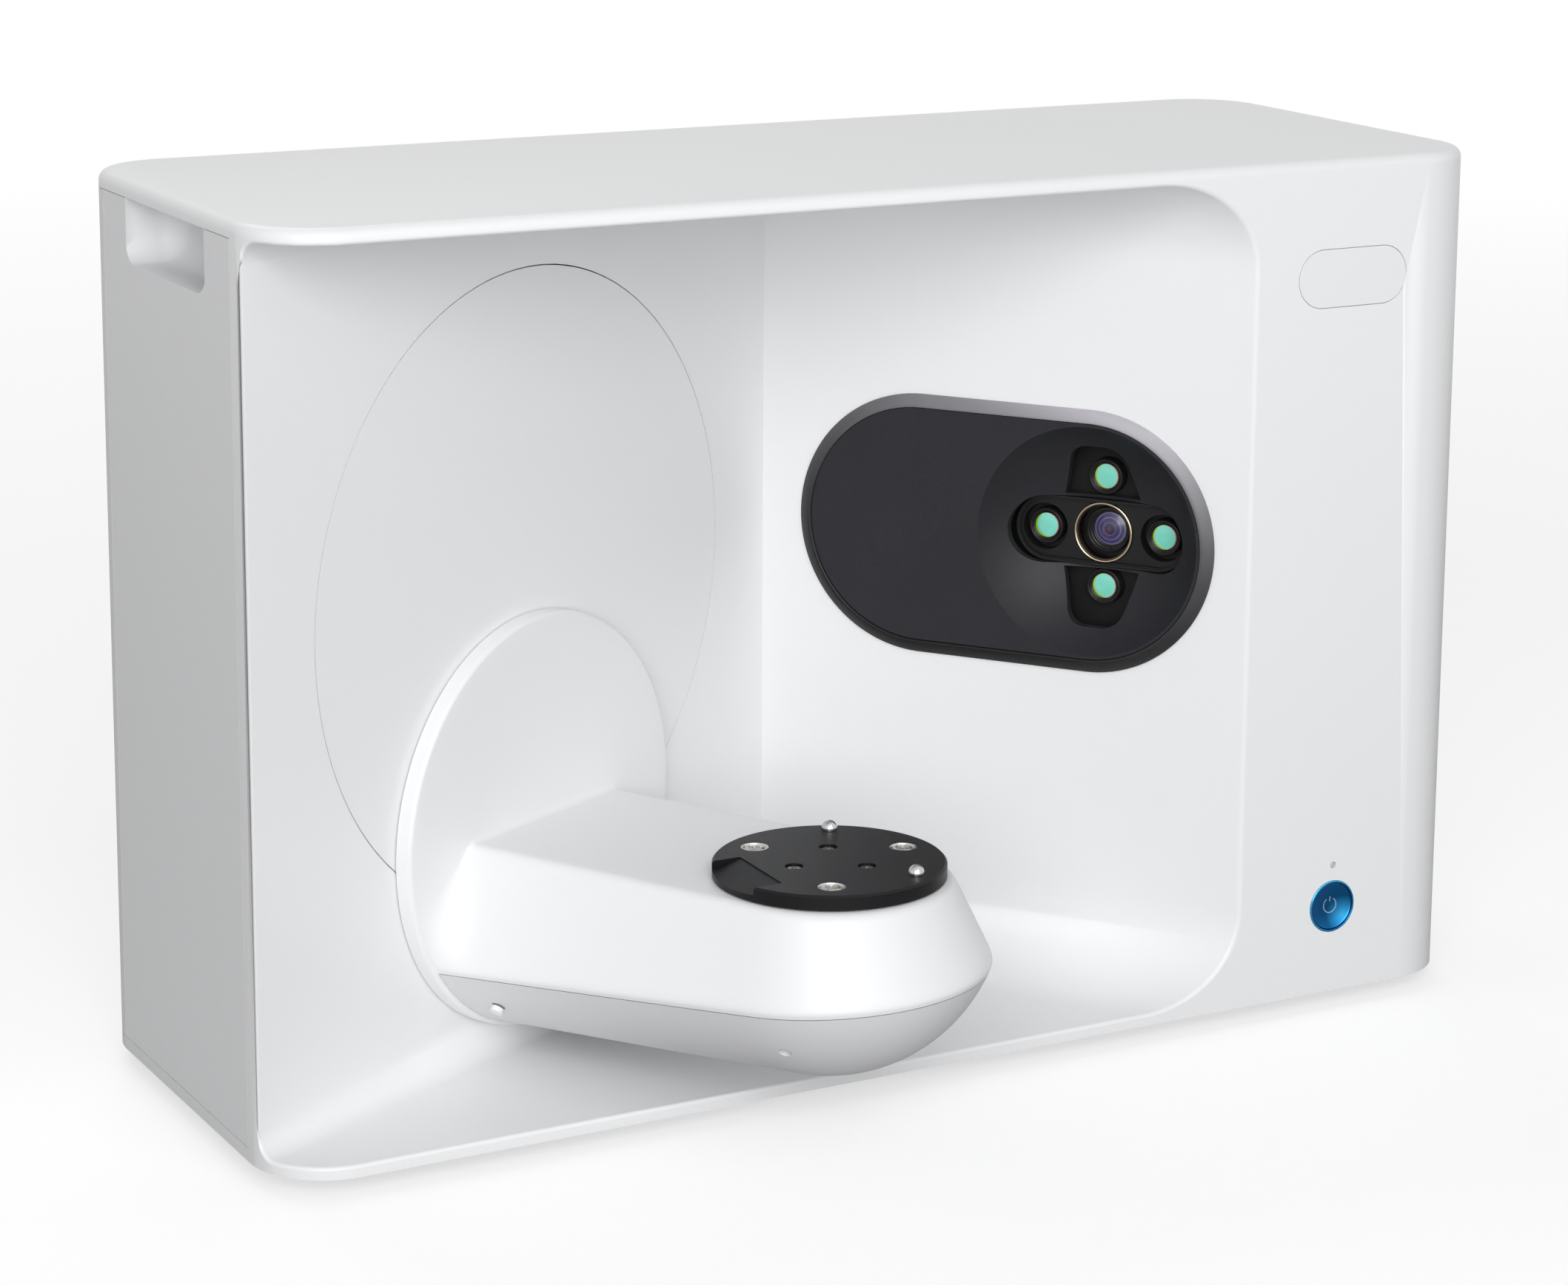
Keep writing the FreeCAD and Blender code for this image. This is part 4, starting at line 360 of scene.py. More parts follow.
def hull_reach(n, way_x, way_n, drop):
    """The distance from a base point on the centre line to the hull, in a level direction and a drop below the
    ridge's plane, which rises 0.065 mm per mm. Found by halving a bracket forty times, on whole arrays."""
    inner, outer = np.zeros(n.shape), np.full(n.shape, 95.0)
    for _ in range(40):
        q = (inner + outer) / 2.0
        far = n + q * way_n
        out = outside_hull(q * way_x, far, 56.0 + 0.065 * far - drop) > 0.0
        inner, outer = np.where(out, inner, q), np.where(out, q, outer)
    return inner


print("half width of the ridge at the wall in mm:", hull_reach(np.zeros(1), 1.0, 0.0, 0.0).round(2))


# %% Arm section
def bend(start, corner, end, share):
    """A quadratic curve: (1-t)^2 start + 2t(1-t) corner + t^2 end."""
    t = np.asarray(share)[None, :, None]
    return (1 - t) ** 2 * start[:, None] + 2 * t * (1 - t) * corner[:, None] + t ** 2 * end[:, None]


def arm_section(n, way_x, way_n):
    """Rows of (reach, height) of the section at each station, from the seam up and in to the centre line."""
    def corner(drop):
        q = hull_reach(n, way_x, way_n, drop)
        return np.stack([q, 56.0 + 0.065 * (n + q * way_n) - drop], axis=-1)

    seam, ridge = corner(2.5), corner(0.0)
    top = np.stack([np.full(n.shape, 44.6), np.full(n.shape, TOP)], axis=-1)
    hole = np.sqrt(np.maximum(7.5 ** 2 - np.where(np.abs(way_n) > 0, 0.0, (REACH - n) ** 2), 0.0))
    centre = np.stack([hole, np.full(n.shape, TOP)], axis=-1)
    side = (top - ridge) / np.linalg.norm(top - ridge, axis=-1, keepdims=True)
    ease, cap = np.linspace(0.0, 1.0, 9), np.stack([top[:, 0] - 3.2, top[:, 1]], axis=-1)
    low, high = ridge + side * 4.2, top - side * 3.4
    shares = np.linspace(0.0, 1.0, 12)[1:-1, None]
    wall = low[:, None] + shares[None] * (high - low)[:, None]
    flat = cap[:, None] + np.linspace(0.0, 1.0, 7)[None, 1:, None] * (centre - cap)[:, None]
    return np.concatenate([seam[:, None], bend((seam + ridge) / 2, ridge, low, ease), wall,
                           bend(high, top, cap, ease), flat], axis=1)


# %% Arm body
def arm_grid():
    """Stations run down the left side, round the nose and up the right side. Near the plate each row is pushed
    out along its own section normal by a quarter ellipse, a (1 - sin t) out at b (1 - cos t) from the plate."""
    flare = np.radians(np.linspace(0.0, 90.0, 13))
    run = np.linspace(0.0, 1.0, 20)[1:]
    nose = np.radians(np.linspace(-90.0, 90.0, 73))[1:-1]
    row_height = arm_section(np.array([7.0]), -1.0, 0.0)[0, :, 1]
    lift = np.clip((TOP - row_height) / 30.0, 0.0, 1.0)
    depth = 2.0 + 12.0 * lift * lift * (3 - 2 * lift)
    grids = []
    for sign in (-1.0, 1.0):
        n = np.concatenate([np.full((1, len(depth)), 6.0), 7.0 + np.outer(1 - np.cos(flare), depth),
                            7.0 + depth + np.outer(run, REACH - 7.0 - depth)])
        section = np.stack([arm_section(n[:, j], sign, 0.0)[:, j] for j in range(n.shape[1])], axis=1)
        slope = np.gradient(section, axis=1)
        normal = np.stack([slope[..., 1], -slope[..., 0]], axis=-1)
        normal /= np.linalg.norm(normal, axis=-1, keepdims=True)
        spot = section - np.array([0.0, 97.0])
        toward = (spot * normal).sum(axis=-1)
        room = -toward + np.sqrt(np.maximum(toward ** 2 - (spot ** 2).sum(axis=-1) + 76.4 ** 2, 0.0))
        push = np.concatenate([[1.0], 1 - np.sin(flare), np.zeros(len(run))])[:, None]
        section += (np.minimum(depth, np.maximum(room, 0.0)) * push)[..., None] * normal
        side = np.stack([sign * section[..., 0], -n, section[..., 1]], axis=-1)
        grids.append(side)
    way = np.stack([np.sin(nose), np.cos(nose)], axis=-1)
    section = arm_section(np.full(len(nose), REACH), way[:, 0], way[:, 1])
    front = np.stack([section[..., 0] * way[:, :1], -REACH - section[..., 0] * way[:, 1:], section[..., 1]], axis=-1)
    return np.concatenate([grids[0], front, grids[1][::-1]])


outer = arm_grid()
along, up = np.gradient(outer, axis=0), np.gradient(outer, axis=1)
facing = np.cross(along, up)
facing /= np.maximum(np.linalg.norm(facing, axis=-1, keepdims=True), 1e-9)
inner = outer - 2.2 * facing
print("section rows and stations:", outer.shape[1], outer.shape[0], "outward x at left side:", facing[20, 14].round(2))
plate = [(0.0, 7.0), (40.0, 7.0), (70.0, 7.0)] + arc((76.8, 5.3), 1.7, 90, 0, 7) + \
        [(78.5, 0.5), (59.0, 0.5), (59.0, 4.8), (0.0, 4.8)]
disc_plate = turned([(r, -d) for r, d in plate], left_wall, (0.0, 0.0, 97.0), 160)
seam_rim = np.stack([outer[:, 0], inner[:, 0]], axis=1)
hole_rim = np.stack([outer[30:-30, -1], inner[30:-30, -1]], axis=1)
roots = [np.stack([outer[end], inner[end]], axis=1) for end in (0, -1)]
arm = make_piece("arm_upper_cover", [(left_wall(outer), True), (left_wall(inner), False),
                                     (left_wall(seam_rim), False), (left_wall(hole_rim), True), disc_plate,
                                     (left_wall(roots[0]), True), (left_wall(roots[1]), False)],
                 SHELL_WHITE, "arm", 40.0)
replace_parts(arm, "arm_upper_shell")

# %% [markdown]
# ## Softened front shell
# The big white shell is moulded, so the edges of its opening are rounded by a millimetre and catch a thin line
# of light. The solid's own mesh has these edges sharp. A copy of it is welded and its flat regions are joined,
# then only the edges where the chamber meets the outside are picked by their place and bevelled.

# %% Front shell copy
def outline_gap(x, y):
    """Distance in mm from the casing's outline, a rectangle with 30 mm round corners, seen from above."""
    dx, dy = np.abs(x) - (252.5 - 30.0), np.abs(y - 42.29) - (94.9 - 30.0)
    return np.hypot(np.maximum(dx, 0.0), np.maximum(dy, 0.0)) + np.minimum(np.maximum(dx, dy), 0.0) - 30.0


def softened_shell(source, width):
    """A welded copy of the shell's mesh with a bevel weight on each sharp edge of the opening."""
    work = bmesh.new()
    work.from_mesh(source.data)
    bmesh.ops.remove_doubles(work, verts=work.verts, dist=1e-5)
    bmesh.ops.dissolve_limit(work, angle_limit=0.004, verts=work.verts, edges=work.edges)
    work.edges.ensure_lookup_table()
    ends = np.array([[*e.verts[0].co, *e.verts[1].co] for e in work.edges]).reshape(-1, 2, 3) * 1000.0
    sharp = np.array([len(e.link_faces) == 2 and e.calc_face_angle(0.0) > 0.35 for e in work.edges])
    outside = (np.abs(outline_gap(ends[..., 0], ends[..., 1])) < 0.08).all(axis=1)
    ends_in = ((ends[..., 1] < -26.0) & (ends[..., 0] < 150.0) & (ends[..., 2] > 9.0) & (ends[..., 2] < 335.5))
    picked = sharp & outside & ends_in.all(axis=1)
    weight = work.edges.layers.float.new("bevel_weight_edge")
    for edge, wanted in zip(work.edges, picked):
        edge[weight] = float(wanted)
    mesh = bpy.data.meshes.new("front_shell_soft")
    work.to_mesh(mesh)
    work.free()
    mesh.shade_smooth()
    mesh.set_sharp_from_angle(angle=math.radians(24))
    shell = bpy.data.objects.new("front_shell_soft", mesh)
    bpy.context.scene.collection.objects.link(shell)
    rounding = shell.modifiers.new("opening_rounding", "BEVEL")
    rounding.width, rounding.segments, rounding.limit_method = width, 3, "WEIGHT"
    rounding.use_clamp_overlap, rounding.harden_normals = False, True
    mesh.materials.append(SHELL_WHITE)
    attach(shell, "casing")
    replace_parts(shell, "front_shell")
    print("rounded edges:", int(picked.sum()), "of", len(picked))
    return shell


OPENING_ROUND = 0.0014
softened_shell(nodes["front_shell"], OPENING_ROUND)

# %% [markdown]
# ## Bezel and optics
# A bezel frames the charcoal panel: a narrow cone that leans out from the wall, a thin lip and a seam. In the
# bowl stand a bar with a stepped shoulder, four camera barrels and the projector, all turned parts, so each is
# a profile turned about its own axis. Their steps are what makes them read as optics. The cameras' glasses carry
# a teal coating with coloured fringes, and the projector's glass shows the rings of the elements behind it; both
# are reflections painted into the glasses' colour.

# %% Bezel
BEZEL_RUN = 70.7
BEZEL = [(52.2, -0.02), (52.25, -0.75), (52.1, -1.0), (48.7, -2.75), (48.2, -2.95), (47.6, -3.0), (47.2, -2.9),
         (47.05, -2.6), (47.05, 3.0), (46.2, 3.0), (46.2, 5.0), (50.6, 5.0), (50.6, -0.02), (52.2, -0.02)]
bezel = make_piece("bezel_ring", [carried(BEZEL, right_wall, -BEZEL_RUN, 0.0, 56)], BEZEL_PAINTED_HIGHLIGHT, "casing",
                   50.0)
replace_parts(bezel, "camera_bezel")
BAR_FACE, BAR_HALF = 16.0, 23.0
LIP = [(12.35, 0.3), (12.35, -0.5)] + arc((12.55, -0.5), 0.2, 180, 270, 4)[1:] + [(12.9, -0.7)] + \
      arc((13.1, -0.4), 0.3, 270, 360, 4) + [(13.4, 0.3), (12.35, 0.3)]
make_piece("bar_lip", [carried([(r, BAR_FACE + d) for r, d in LIP], right_wall, -BAR_HALF, BAR_HALF, 28)], OPTICS_BLACK,
           "casing", 50.0)

# %% Camera barrels and glasses
FACE = 18.0
SPOTS = [(-24.7, 0.0), (24.7, 0.0), (0.0, 22.1), (0.0, -22.1)]
BARREL = [(5.05, 25.9), (5.05, 1.9), (5.15, 1.5), (5.7, 1.2), (5.75, 0.7), (6.0, 0.6), (6.05, 0.2)] + \
         arc((6.55, 0.5), 0.5, 180, 360, 7)[1:] + [(7.1, 1.1), (7.1, 25.9), (5.05, 25.9)]
barrels = make_piece("barrel_set", [turned([(r, FACE + d) for r, d in BARREL], right_wall, (x, 0.0, z), 56)
                                    for x, z in SPOTS], BARREL_BLACK, "casing", 40.0)
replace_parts(barrels, "camera_barrels")
GLASS_RADIUS, DOME_RADIUS = 5.0, 6.75
GLASS = [(0.0, 1.05), (1.5, 1.08), (3.0, 1.18), (4.2, 1.33), (GLASS_RADIUS, 1.5), (GLASS_RADIUS, 3.5), (0.0, 3.5)]
# Painted reflections: teal, lime and crimson stand for light reflected by the camera lenses' coating.
TEAL_PAINTED_REFLECTION, LIME_PAINTED_REFLECTION, CRIMSON_PAINTED_REFLECTION = (0.21, 0.76, 0.60), (0.34, 0.55, 0.01), (0.30, 0.03, 0.03)
# Painted reflections: the lighter rings and the dark red centre stand for light reflected by the inner elements.
VIOLET_PAINTED_REFLECTIONS = [(0.0, (0.16, 0.05, 0.07)), (0.14, (0.05, 0.02, 0.05)), (0.32, (0.02, 0.015, 0.06)),
                  (0.38, (0.12, 0.10, 0.25)), (0.44, (0.03, 0.02, 0.09)), (0.63, (0.05, 0.035, 0.14)),
                  (0.67, (0.24, 0.22, 0.40)), (0.72, (0.04, 0.03, 0.11)), (0.88, (0.09, 0.075, 0.21)),
                  (0.95, (0.26, 0.25, 0.34)), (0.99, (0.02, 0.02, 0.03))]


# %% Coated glass
class Spot:
    """Distances on a glass, in its own radii, read from the attribute that mark_spots leaves on the piece."""

    def __init__(self, finish):
        self.finish = finish
        self.place = finish.node("ShaderNodeAttribute", {"attribute_name": "spot"}, {}, 1)

    def away(self, x, z=0.0):
        moved = self.finish.node("ShaderNodeVectorMath", {"operation": "SUBTRACT"}, {0: self.place, 1: (x, z, 0.0)})
        return self.finish.node("ShaderNodeVectorMath", {"operation": "LENGTH"}, {0: moved}, 1)


BLACK, WHITE = (0.0, 0.0, 0.0), (1.0, 1.0, 1.0)


def painted_teal_glass():
    """Teal, with a lime crescent where the glass is far from a point right of its centre, and a red rim where
    it is far from a point left of it: the two fringes of one coating, all painted reflections in the colour."""
    f = Finish("coated_glass_painted_teal", Coat_Weight=1.0, Coat_Roughness=0.03, Roughness=0.15)
    spot = Spot(f)
    # Painted reflection: the lime crescent and the red rim are fringes set to one side of each glass.
    lime = f.ramp(spot.away(0.14, 0.06) * 0.8, (0.76, BLACK), (0.80, WHITE))
    red = f.ramp(spot.away(-0.06) * 0.8, (0.765, BLACK), (0.80, WHITE))
    return f.set(Base_Color=f.blend(red, f.blend(lime, TEAL_PAINTED_REFLECTION, LIME_PAINTED_REFLECTION), CRIMSON_PAINTED_REFLECTION)).material


def painted_violet_glass():
    """Nearly black glass with painted reflections: its inner elements show as lighter rings, so the colour follows the
    radius.
    """
    f = Finish("violet_glass_painted_rings", Coat_Weight=0.35, Coat_Roughness=0.12, Roughness=0.3)
    return f.set(Base_Color=f.ramp(Spot(f).away(0.0), *VIOLET_PAINTED_REFLECTIONS)).material


def mark_spots(piece, centres, radius):
    """Store each vertex's place across its nearest lens, (x, z, 0) over the radius, as an attribute."""
    co = np.empty(3 * len(piece.data.vertices))
    piece.data.vertices.foreach_get("co", co)
    p = co.reshape(-1, 3) * 1000.0 - np.array(OPTICS[:3])
    a = math.radians(OPTICS[3])
    flat = np.stack([math.cos(a) * p[:, 0] + math.sin(a) * p[:, 1], p[:, 2]], axis=-1)
    gaps = flat[:, None] - np.array(centres)[None]
    nearest = np.hypot(gaps[..., 0], gaps[..., 1]).argmin(axis=1)
    spot = gaps[np.arange(len(flat)), nearest] / radius
    layer = piece.data.attributes.new("spot", "FLOAT_VECTOR", "POINT")
    layer.data.foreach_set("vector", np.concatenate([spot, np.zeros((len(spot), 1))], axis=1).ravel())


lenses = make_piece("camera_glasses", [turned([(r, FACE + d) for r, d in GLASS], right_wall, (x, 0.0, z), 48)
                                       for x, z in SPOTS], painted_teal_glass(), "casing", 30.0)
mark_spots(lenses, SPOTS, GLASS_RADIUS)
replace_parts(lenses, "camera_lenses")

# %% Projector
RING_FACE = 16.6
BRASS = [(11.2, 6.0), (11.2, 0.3)] + arc((11.7, 0.3), 0.5, 180, 360, 9)[1:] + [(12.2, 6.0), (11.2, 6.0)]
SLEEVE = [(11.15, 7.5), (10.85, 7.5), (10.7, 7.2), (10.7, 1.0), (10.85, 0.75), (11.15, 0.7), (11.15, 7.5)]
THROAT = [(6.8, 43.2), (6.8, 8.2), (7.3, 8.0), (7.3, 7.2), (7.4, 6.8), (7.9, 6.6), (7.9, 5.8), (8.0, 5.3), (8.3, 5.1),
          (8.9, 5.2), (9.1, 5.6), (9.1, 7.0), (9.4, 7.5), (11.1, 7.5), (11.1, 43.2), (6.8, 43.2)]
DOME = [(0.0, 6.8), (1.7, 6.9), (3.4, 7.2), (5.1, 7.7), (DOME_RADIUS, 8.4), (DOME_RADIUS, 13.4), (0.0, 13.4)]
BRONZE = metal_finish("dark_bronze_sleeve", (0.10, 0.08, 0.055), 0.30)


def about_lens(name, profile, material, steps=96, crease=40.0):
    """A profile of (radius, depth behind the ring's face) turned about the projector's axis."""
    grid = turned([(r, RING_FACE + d) for r, d in profile], right_wall, (0.0, 0.0, 0.0), steps)
    return make_piece(name, [grid], material, "casing", crease)


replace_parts(about_lens("projector_brass_ring", BRASS, RING_BRASS, 96, 50.0), "projector_ring")
about_lens("projector_sleeve", SLEEVE, BRONZE)
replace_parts(about_lens("projector_throat", THROAT, BARREL_BLACK), "projector_barrel")
dome = about_lens("projector_glass", DOME, painted_violet_glass(), 64, 30.0)
mark_spots(dome, [(0.0, 0.0)], DOME_RADIUS)
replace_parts(dome, "projector_lens")

# %% [markdown]
# ## Screws and balls on the turntable
# Three big screws sit in countersinks: a flat outer ring, a groove, a domed middle and a socket. Two steel balls
# stand out of the plate by a little more than half. All five are profiles turned about upright axes.

# %% Turntable screws and balls
def on_table(radius, degrees):
    """A spot on the turntable in the left wall's frame: the centre plus (r cos, -r sin)."""
    a = math.radians(degrees)
    return radius * math.cos(a), -REACH - radius * math.sin(a), TABLE_TOP


SCREW_CIRCLE, SCREW_ANGLES = 31.0, (25, 145, 265)
BALL_CIRCLE, BALL_ANGLES = 35.3, (86, 326)
HEAD = [(0.0, -1.95), (3.2, -1.95), (5.1, -0.25), (5.05, -0.1), (4.5, -0.1), (4.35, -0.25), (4.2, -0.8),
        (3.9, -0.75), (3.5, -0.35), (2.8, -0.12), (2.3, -0.12), (2.05, -0.35), (1.9, -1.5), (0.0, -1.6)]
heads = make_piece("table_screw_heads", [turned(HEAD, left_wall, on_table(SCREW_CIRCLE, a), 48, "z")
                                         for a in SCREW_ANGLES],
                   SCREW_STEEL, "turntable", 35.0)
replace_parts(heads, "turntable_screws")
BALL = [(0.0, -2.0)] + [(1.5, -2.0), (1.5, -1.79)] + arc((0.0, 0.8), 3.0, -60, 90, 24)
balls = make_piece("table_balls", [turned(BALL, left_wall, on_table(BALL_CIRCLE, a), 48, "z")
                                   for a in BALL_ANGLES],
                   BALL_CHROME, "turntable", 35.0)
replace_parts(balls, "turntable_ball_pins")

# %% [markdown]
# ## Power button and pilot light
# The button is a dished disc of blue anodised metal in a rim of the same metal, with the usual power sign: an
# open circle and a stroke. Both blues carry a painted highlight that follows the distance from a spot low on
# the right. The sign follows the dish, so its points take their depth from the dish's own curve.

# %% Button
BUTTON_AT, PILOT_AT = (0.0, 0.0, 42.2), (0.0, 0.0, 59.1)
DISH_BALL, DISH_DEEP = 30.5, 1.6
HIGHLIGHT_PAINT_AT, HIGHLIGHT_PAINT_REACH = (0.1935, -0.0526, 0.0380), 0.02


def dish_depth(r):
    """The dish is a ball's cap: its depth is DISH_DEEP less the sagitta, R - sqrt(R^2 - r^2)."""
    return DISH_DEEP - (DISH_BALL - np.sqrt(DISH_BALL ** 2 - np.asarray(r) ** 2))


radii = np.linspace(0.0, 9.1, 20)
CAP = list(zip(radii, dish_depth(radii))) + arc((9.2, 0.45), 0.32, 270, 360, 5) + \
      [(9.55, 3.3), (3.0, 3.3), (3.0, 11.1), (0.0, 11.1)]


def blue_with_painted_highlight(name, stops, rough):
    """Blue anodised metal with a painted highlight: its tone follows the distance from a spot low on the right, in
    shares of 20 mm.
    """
    f = Finish(name, Metallic=0.85, Specular_IOR_Level=0.3)
    spot = f.node("ShaderNodeVectorMath", {"operation": "SUBTRACT"}, {0: f.place, 1: HIGHLIGHT_PAINT_AT})
    away = f.node("ShaderNodeVectorMath", {"operation": "LENGTH"}, {0: spot}, 1)
    f.set(Base_Color=f.ramp(away * (1.0 / HIGHLIGHT_PAINT_REACH), *stops), Roughness=rough + (f.noise(700.0) - 0.5) * 0.1)
    return f


# Painted highlight: the dish is brightest near the spot, the rim brightest far from it.
DISH_BLUES_PAINTED_HIGHLIGHT = [(0.0, (0.06, 0.46, 0.85)), (0.16, (0.03, 0.32, 0.68)), (0.38, (0.006, 0.10, 0.26)),
              (0.70, (0.008, 0.12, 0.32))]
RIM_BLUES_PAINTED_HIGHLIGHT = [(0.0, (0.01, 0.13, 0.36)), (0.45, (0.02, 0.20, 0.48)), (0.80, (0.07, 0.42, 0.72))]
BUTTON_BLUE = blue_with_painted_highlight("blue_dish_painted_highlight", DISH_BLUES_PAINTED_HIGHLIGHT, 0.34)
BLUE_RIM = blue_with_painted_highlight("blue_rim_painted_highlight", RIM_BLUES_PAINTED_HIGHLIGHT, 0.22)
button = make_piece("button_cap", [turned(CAP, column, BUTTON_AT, 96)], BUTTON_BLUE.material,
                    "power_button", 30.0)
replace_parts(button, "power_button")


def stroke(path, width):
    """A thin bar laid along a path on the dish: a square section round each point, drawn to a point at the ends
    so the bar closes. Rows are the section's four corners, columns the path."""
    path = np.asarray(path, float)
    way = np.gradient(path, axis=0)
    way /= np.linalg.norm(way, axis=1, keepdims=True)
    side = np.stack([way[:, 1], -way[:, 0]], axis=-1) * width / 2
    rows = []
    for across, rise in ((-1, 0.05), (-1, -0.06), (1, -0.06), (1, 0.05), (-1, 0.05)):
        spot = path + across * side
        rows.append(np.stack([spot[:, 0], dish_depth(np.hypot(*spot.T)) + rise, spot[:, 1]], axis=-1))
    bar = np.stack(rows)
    ends = [np.repeat(bar[:, end].mean(axis=0)[None, None], 5, axis=0) for end in (0, -1)]
    return column(np.concatenate([ends[0], bar, ends[1]], axis=1) + np.array(BUTTON_AT)), True


turn = np.radians(np.linspace(122.0, 418.0, 41))
SIGN_PALE = white_plastic("sign_pale", (0.42, 0.50, 0.58), 0.4, 900.0, 0.05)
make_piece("power_sign", [stroke(np.stack([3.0 * np.cos(turn), 3.0 * np.sin(turn)], axis=-1), 0.30),
                          stroke([(0.0, 1.5), (0.0, 2.2), (0.0, 2.9), (0.0, 3.6)], 0.30)],
           SIGN_PALE, "power_button", 30.0)
RIM = [(9.72, 3.0), (9.72, -0.05)] + arc((10.1, -0.02), 0.38, 180, 360, 9)[1:] + [(10.5, 3.0), (9.72, 3.0)]
rim = make_piece("button_bright_rim", [turned(RIM, column, BUTTON_AT, 96)], BLUE_RIM.material, "casing",
                 50.0)
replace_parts(rim, "button_rim")
PILOT = [(0.0, 0.35), (0.7, 0.4), (1.1, 0.55), (1.32, 0.85), (1.32, 6.2), (0.0, 6.2)]
pilot = make_piece("pilot_light", [turned(PILOT, column, PILOT_AT, 32)],
                   white_plastic("clear_light_pipe", (0.55, 0.56, 0.58), 0.18, 600.0, 0.02), "casing",
                   30.0)
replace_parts(pilot, "light_pipe")

# %% Material table
LOOKS = {
    BELLY_WHITE_PAINTED_SHADE: "arm_lower_shell",
    SHELL_WHITE: "front_shell arm_upper_shell light_pipe arm_screw_plugs",
    BUTTON_BLUE.material: "power_button",
    lenses.data.materials[0]: "camera_lenses",
    dome.data.materials[0]: "projector_lens",
    COVER_WHITE: "left_side_panel right_side_panel rear_cover badge_plate",
    DISC_WHITE: "elevation_disc",
    TABLE_BLACK: "turntable_plate",
    PANEL_CHARCOAL: "camera_panel",
    OPTICS_BLACK: "optics_bar",
    BARREL_BLACK: "projector_barrel camera_barrels",
    BLACK_STEEL: "camera_bracket camera_bodies",
    RUBBER: "rubber_feet turntable_belt",
    FITTING_BLACK: "power_inlet rocker_frame power_rocker data_connector fan_frame fan_rotor button_housing "
                   "button_switch",
    SCREW_STEEL: "rear_cover_screws turntable_screws turntable_small_screws",
    BALL_CHROME: "turntable_ball_pins arm_bearing elevation_bearing turntable_bearing",
    RING_BRASS: "projector_ring",
    RIM_CHROME: "button_rim arm_shaft turntable_spindle",
    BEZEL_PAINTED_HIGHLIGHT: "camera_bezel",
    ALUMINIUM: "elevation_hub elevation_gear elevation_pinion arm_pinion arm_frame arm_gear turntable_pulley "
               "motor_pulley projector_engine board_standoffs power_supply",
    ZINC_STEEL: "base_frame chassis_plate",
    MOTOR_DARK: "elevation_motor arm_motor turntable_motor",
    board.material: "main_board",
}


def dress(thing, material):
    """Give every face of a piece or node one finish."""
    if not thing.data.materials:
        thing.data.materials.append(material)
    for slot in thing.material_slots:
        slot.link = "OBJECT"
        slot.material = material


for material, names in LOOKS.items():
    for name in names.split():
        dress(nodes[name], material)
print("nodes dressed:", sum(len(names.split()) for names in LOOKS.values()))

# %% [markdown]
# ## Floor and light
# The bench is a white sheet that keeps a soft shadow and fades into a white room, so the sheet's edge never
# shows. The room is white only to the eye, to glossy rays and to glass; it gives little light. The light comes
# from four softboxes: two in front, a strong one from the left front that reaches into the chamber, and one
# behind that skims the top plate. They are white, large and low, so a colour renders about as written.

# %% Floor
floor_finish = Finish("white_sheet", Roughness=0.9, Specular_IOR_Level=0.1)
distance = floor_finish.node("ShaderNodeVectorMath", {"operation": "LENGTH"}, {0: floor_finish.place}, 1)
seen = floor_finish.node("ShaderNodeLightPath")
floor_finish.set(Base_Color=floor_finish.blend(floor_finish.noise(40.0) * 0.3, (0.50, 0.50, 0.50), (0.48, 0.48, 0.48)),
                 Alpha=1.0 - (distance - 0.9) / 1.5)
floor_finish.set(Emission_Color=floor_finish.ramp(seen, (0.0, (0.0, 0.0, 0.0)), (1.0, (0.60, 0.60, 0.60))))
floor_finish.shader.inputs["Emission Strength"].default_value = 1.0
FLOOR_RADIUS = 2.4
turn = np.linspace(0.0, 2.0 * math.pi, 97)[:-1]
floor_edge = FLOOR_RADIUS * np.stack([np.cos(turn), np.sin(turn), 0.0 * turn], axis=1)
floor_mesh = bpy.data.meshes.new("floor")
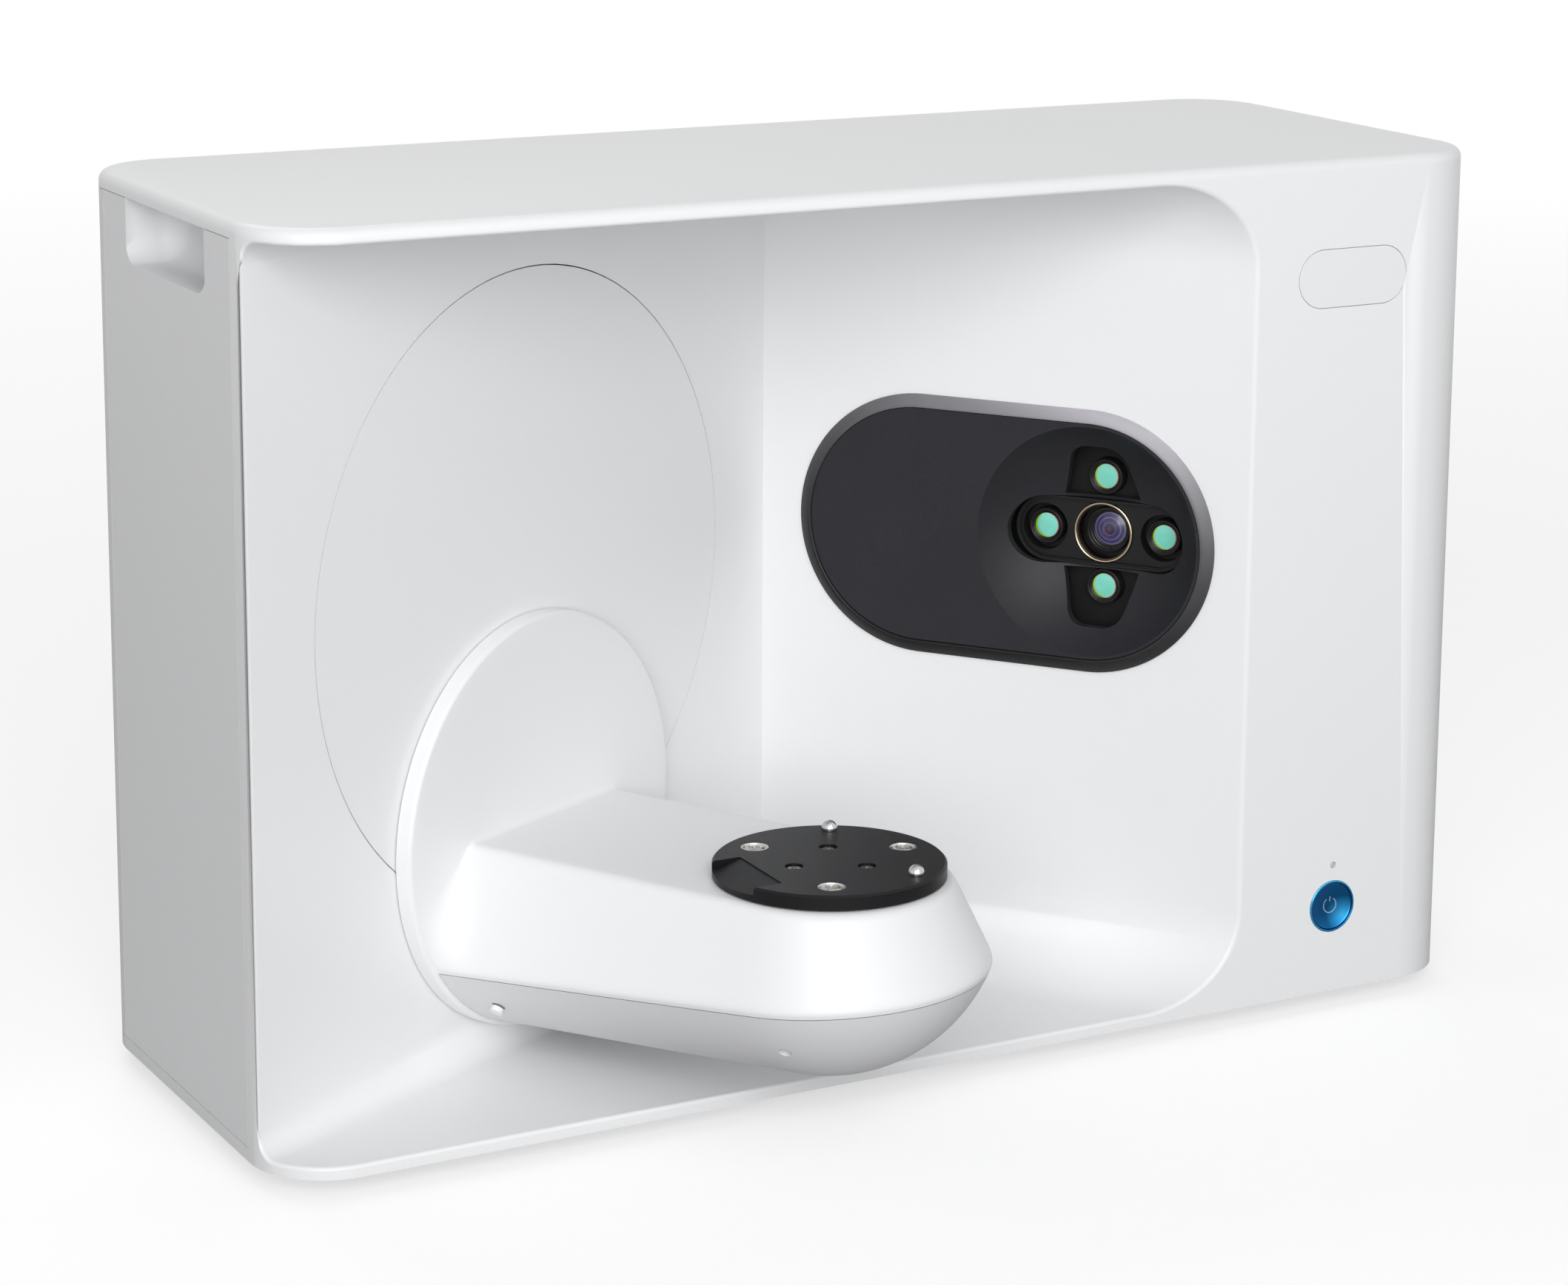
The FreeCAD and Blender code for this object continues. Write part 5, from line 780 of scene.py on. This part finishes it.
floor_mesh.from_pydata(floor_edge.tolist(), [], [tuple(range(96))])
floor = bpy.data.objects.new("floor", floor_mesh)
bpy.context.scene.collection.objects.link(floor)
floor.data.materials.append(floor_finish.material)
print("floor radius in m:", FLOOR_RADIUS)


# %% Lamps and room
def softbox(name, side, height, watts, size=1.6, distance=2.6):
    """A square area light on a sphere about the object, its angles in degrees: side is measured from the
    front towards the left, height is measured from the floor, and the light faces the middle."""
    a, e = math.radians(side), math.radians(height)
    at = Vector((-math.sin(a) * math.cos(e), -math.cos(a) * math.cos(e), math.sin(e)))
    lamp = bpy.data.lights.new(name, "AREA")
    lamp.size, lamp.energy = size, watts
    box = bpy.data.objects.new(name, lamp)
    box.location = at * distance + Vector((0.0, 0.0, 0.17))
    box.rotation_euler = at.to_track_quat("Z", "Y").to_euler()
    bpy.context.scene.collection.objects.link(box)


softbox("high_front_softbox", 0, 40, 8.5)
softbox("low_front_softbox", 0, 10, 7.5)
softbox("left_front_softbox", 30, 20, 41.0)
softbox("back_softbox", 180, 50, 13.5)
world = bpy.data.worlds.new("studio")
bpy.context.scene.world = world
world.use_nodes = True
room = world.node_tree
rays = room.nodes.new("ShaderNodeLightPath")
picture = room.nodes.new("ShaderNodeMath")
picture.operation = "MAXIMUM"
room.links.new(rays.outputs["Is Camera Ray"], picture.inputs[0])
room.links.new(rays.outputs["Is Transmission Ray"], picture.inputs[1])
mirrored = room.nodes.new("ShaderNodeMath")
mirrored.operation = "MAXIMUM"
room.links.new(picture.outputs[0], mirrored.inputs[0])
room.links.new(rays.outputs["Is Glossy Ray"], mirrored.inputs[1])
reach = room.nodes.new("ShaderNodeMapRange")
reach.inputs["To Min"].default_value, reach.inputs["To Max"].default_value = 0.28, 1.0
room.links.new(mirrored.outputs[0], reach.inputs["Value"])
room.links.new(reach.outputs["Result"], room.nodes["Background"].inputs["Strength"])
room.nodes["Background"].inputs["Color"].default_value = (1.0, 1.0, 1.0, 1.0)
bpy.context.scene.view_settings.view_transform = "Standard"
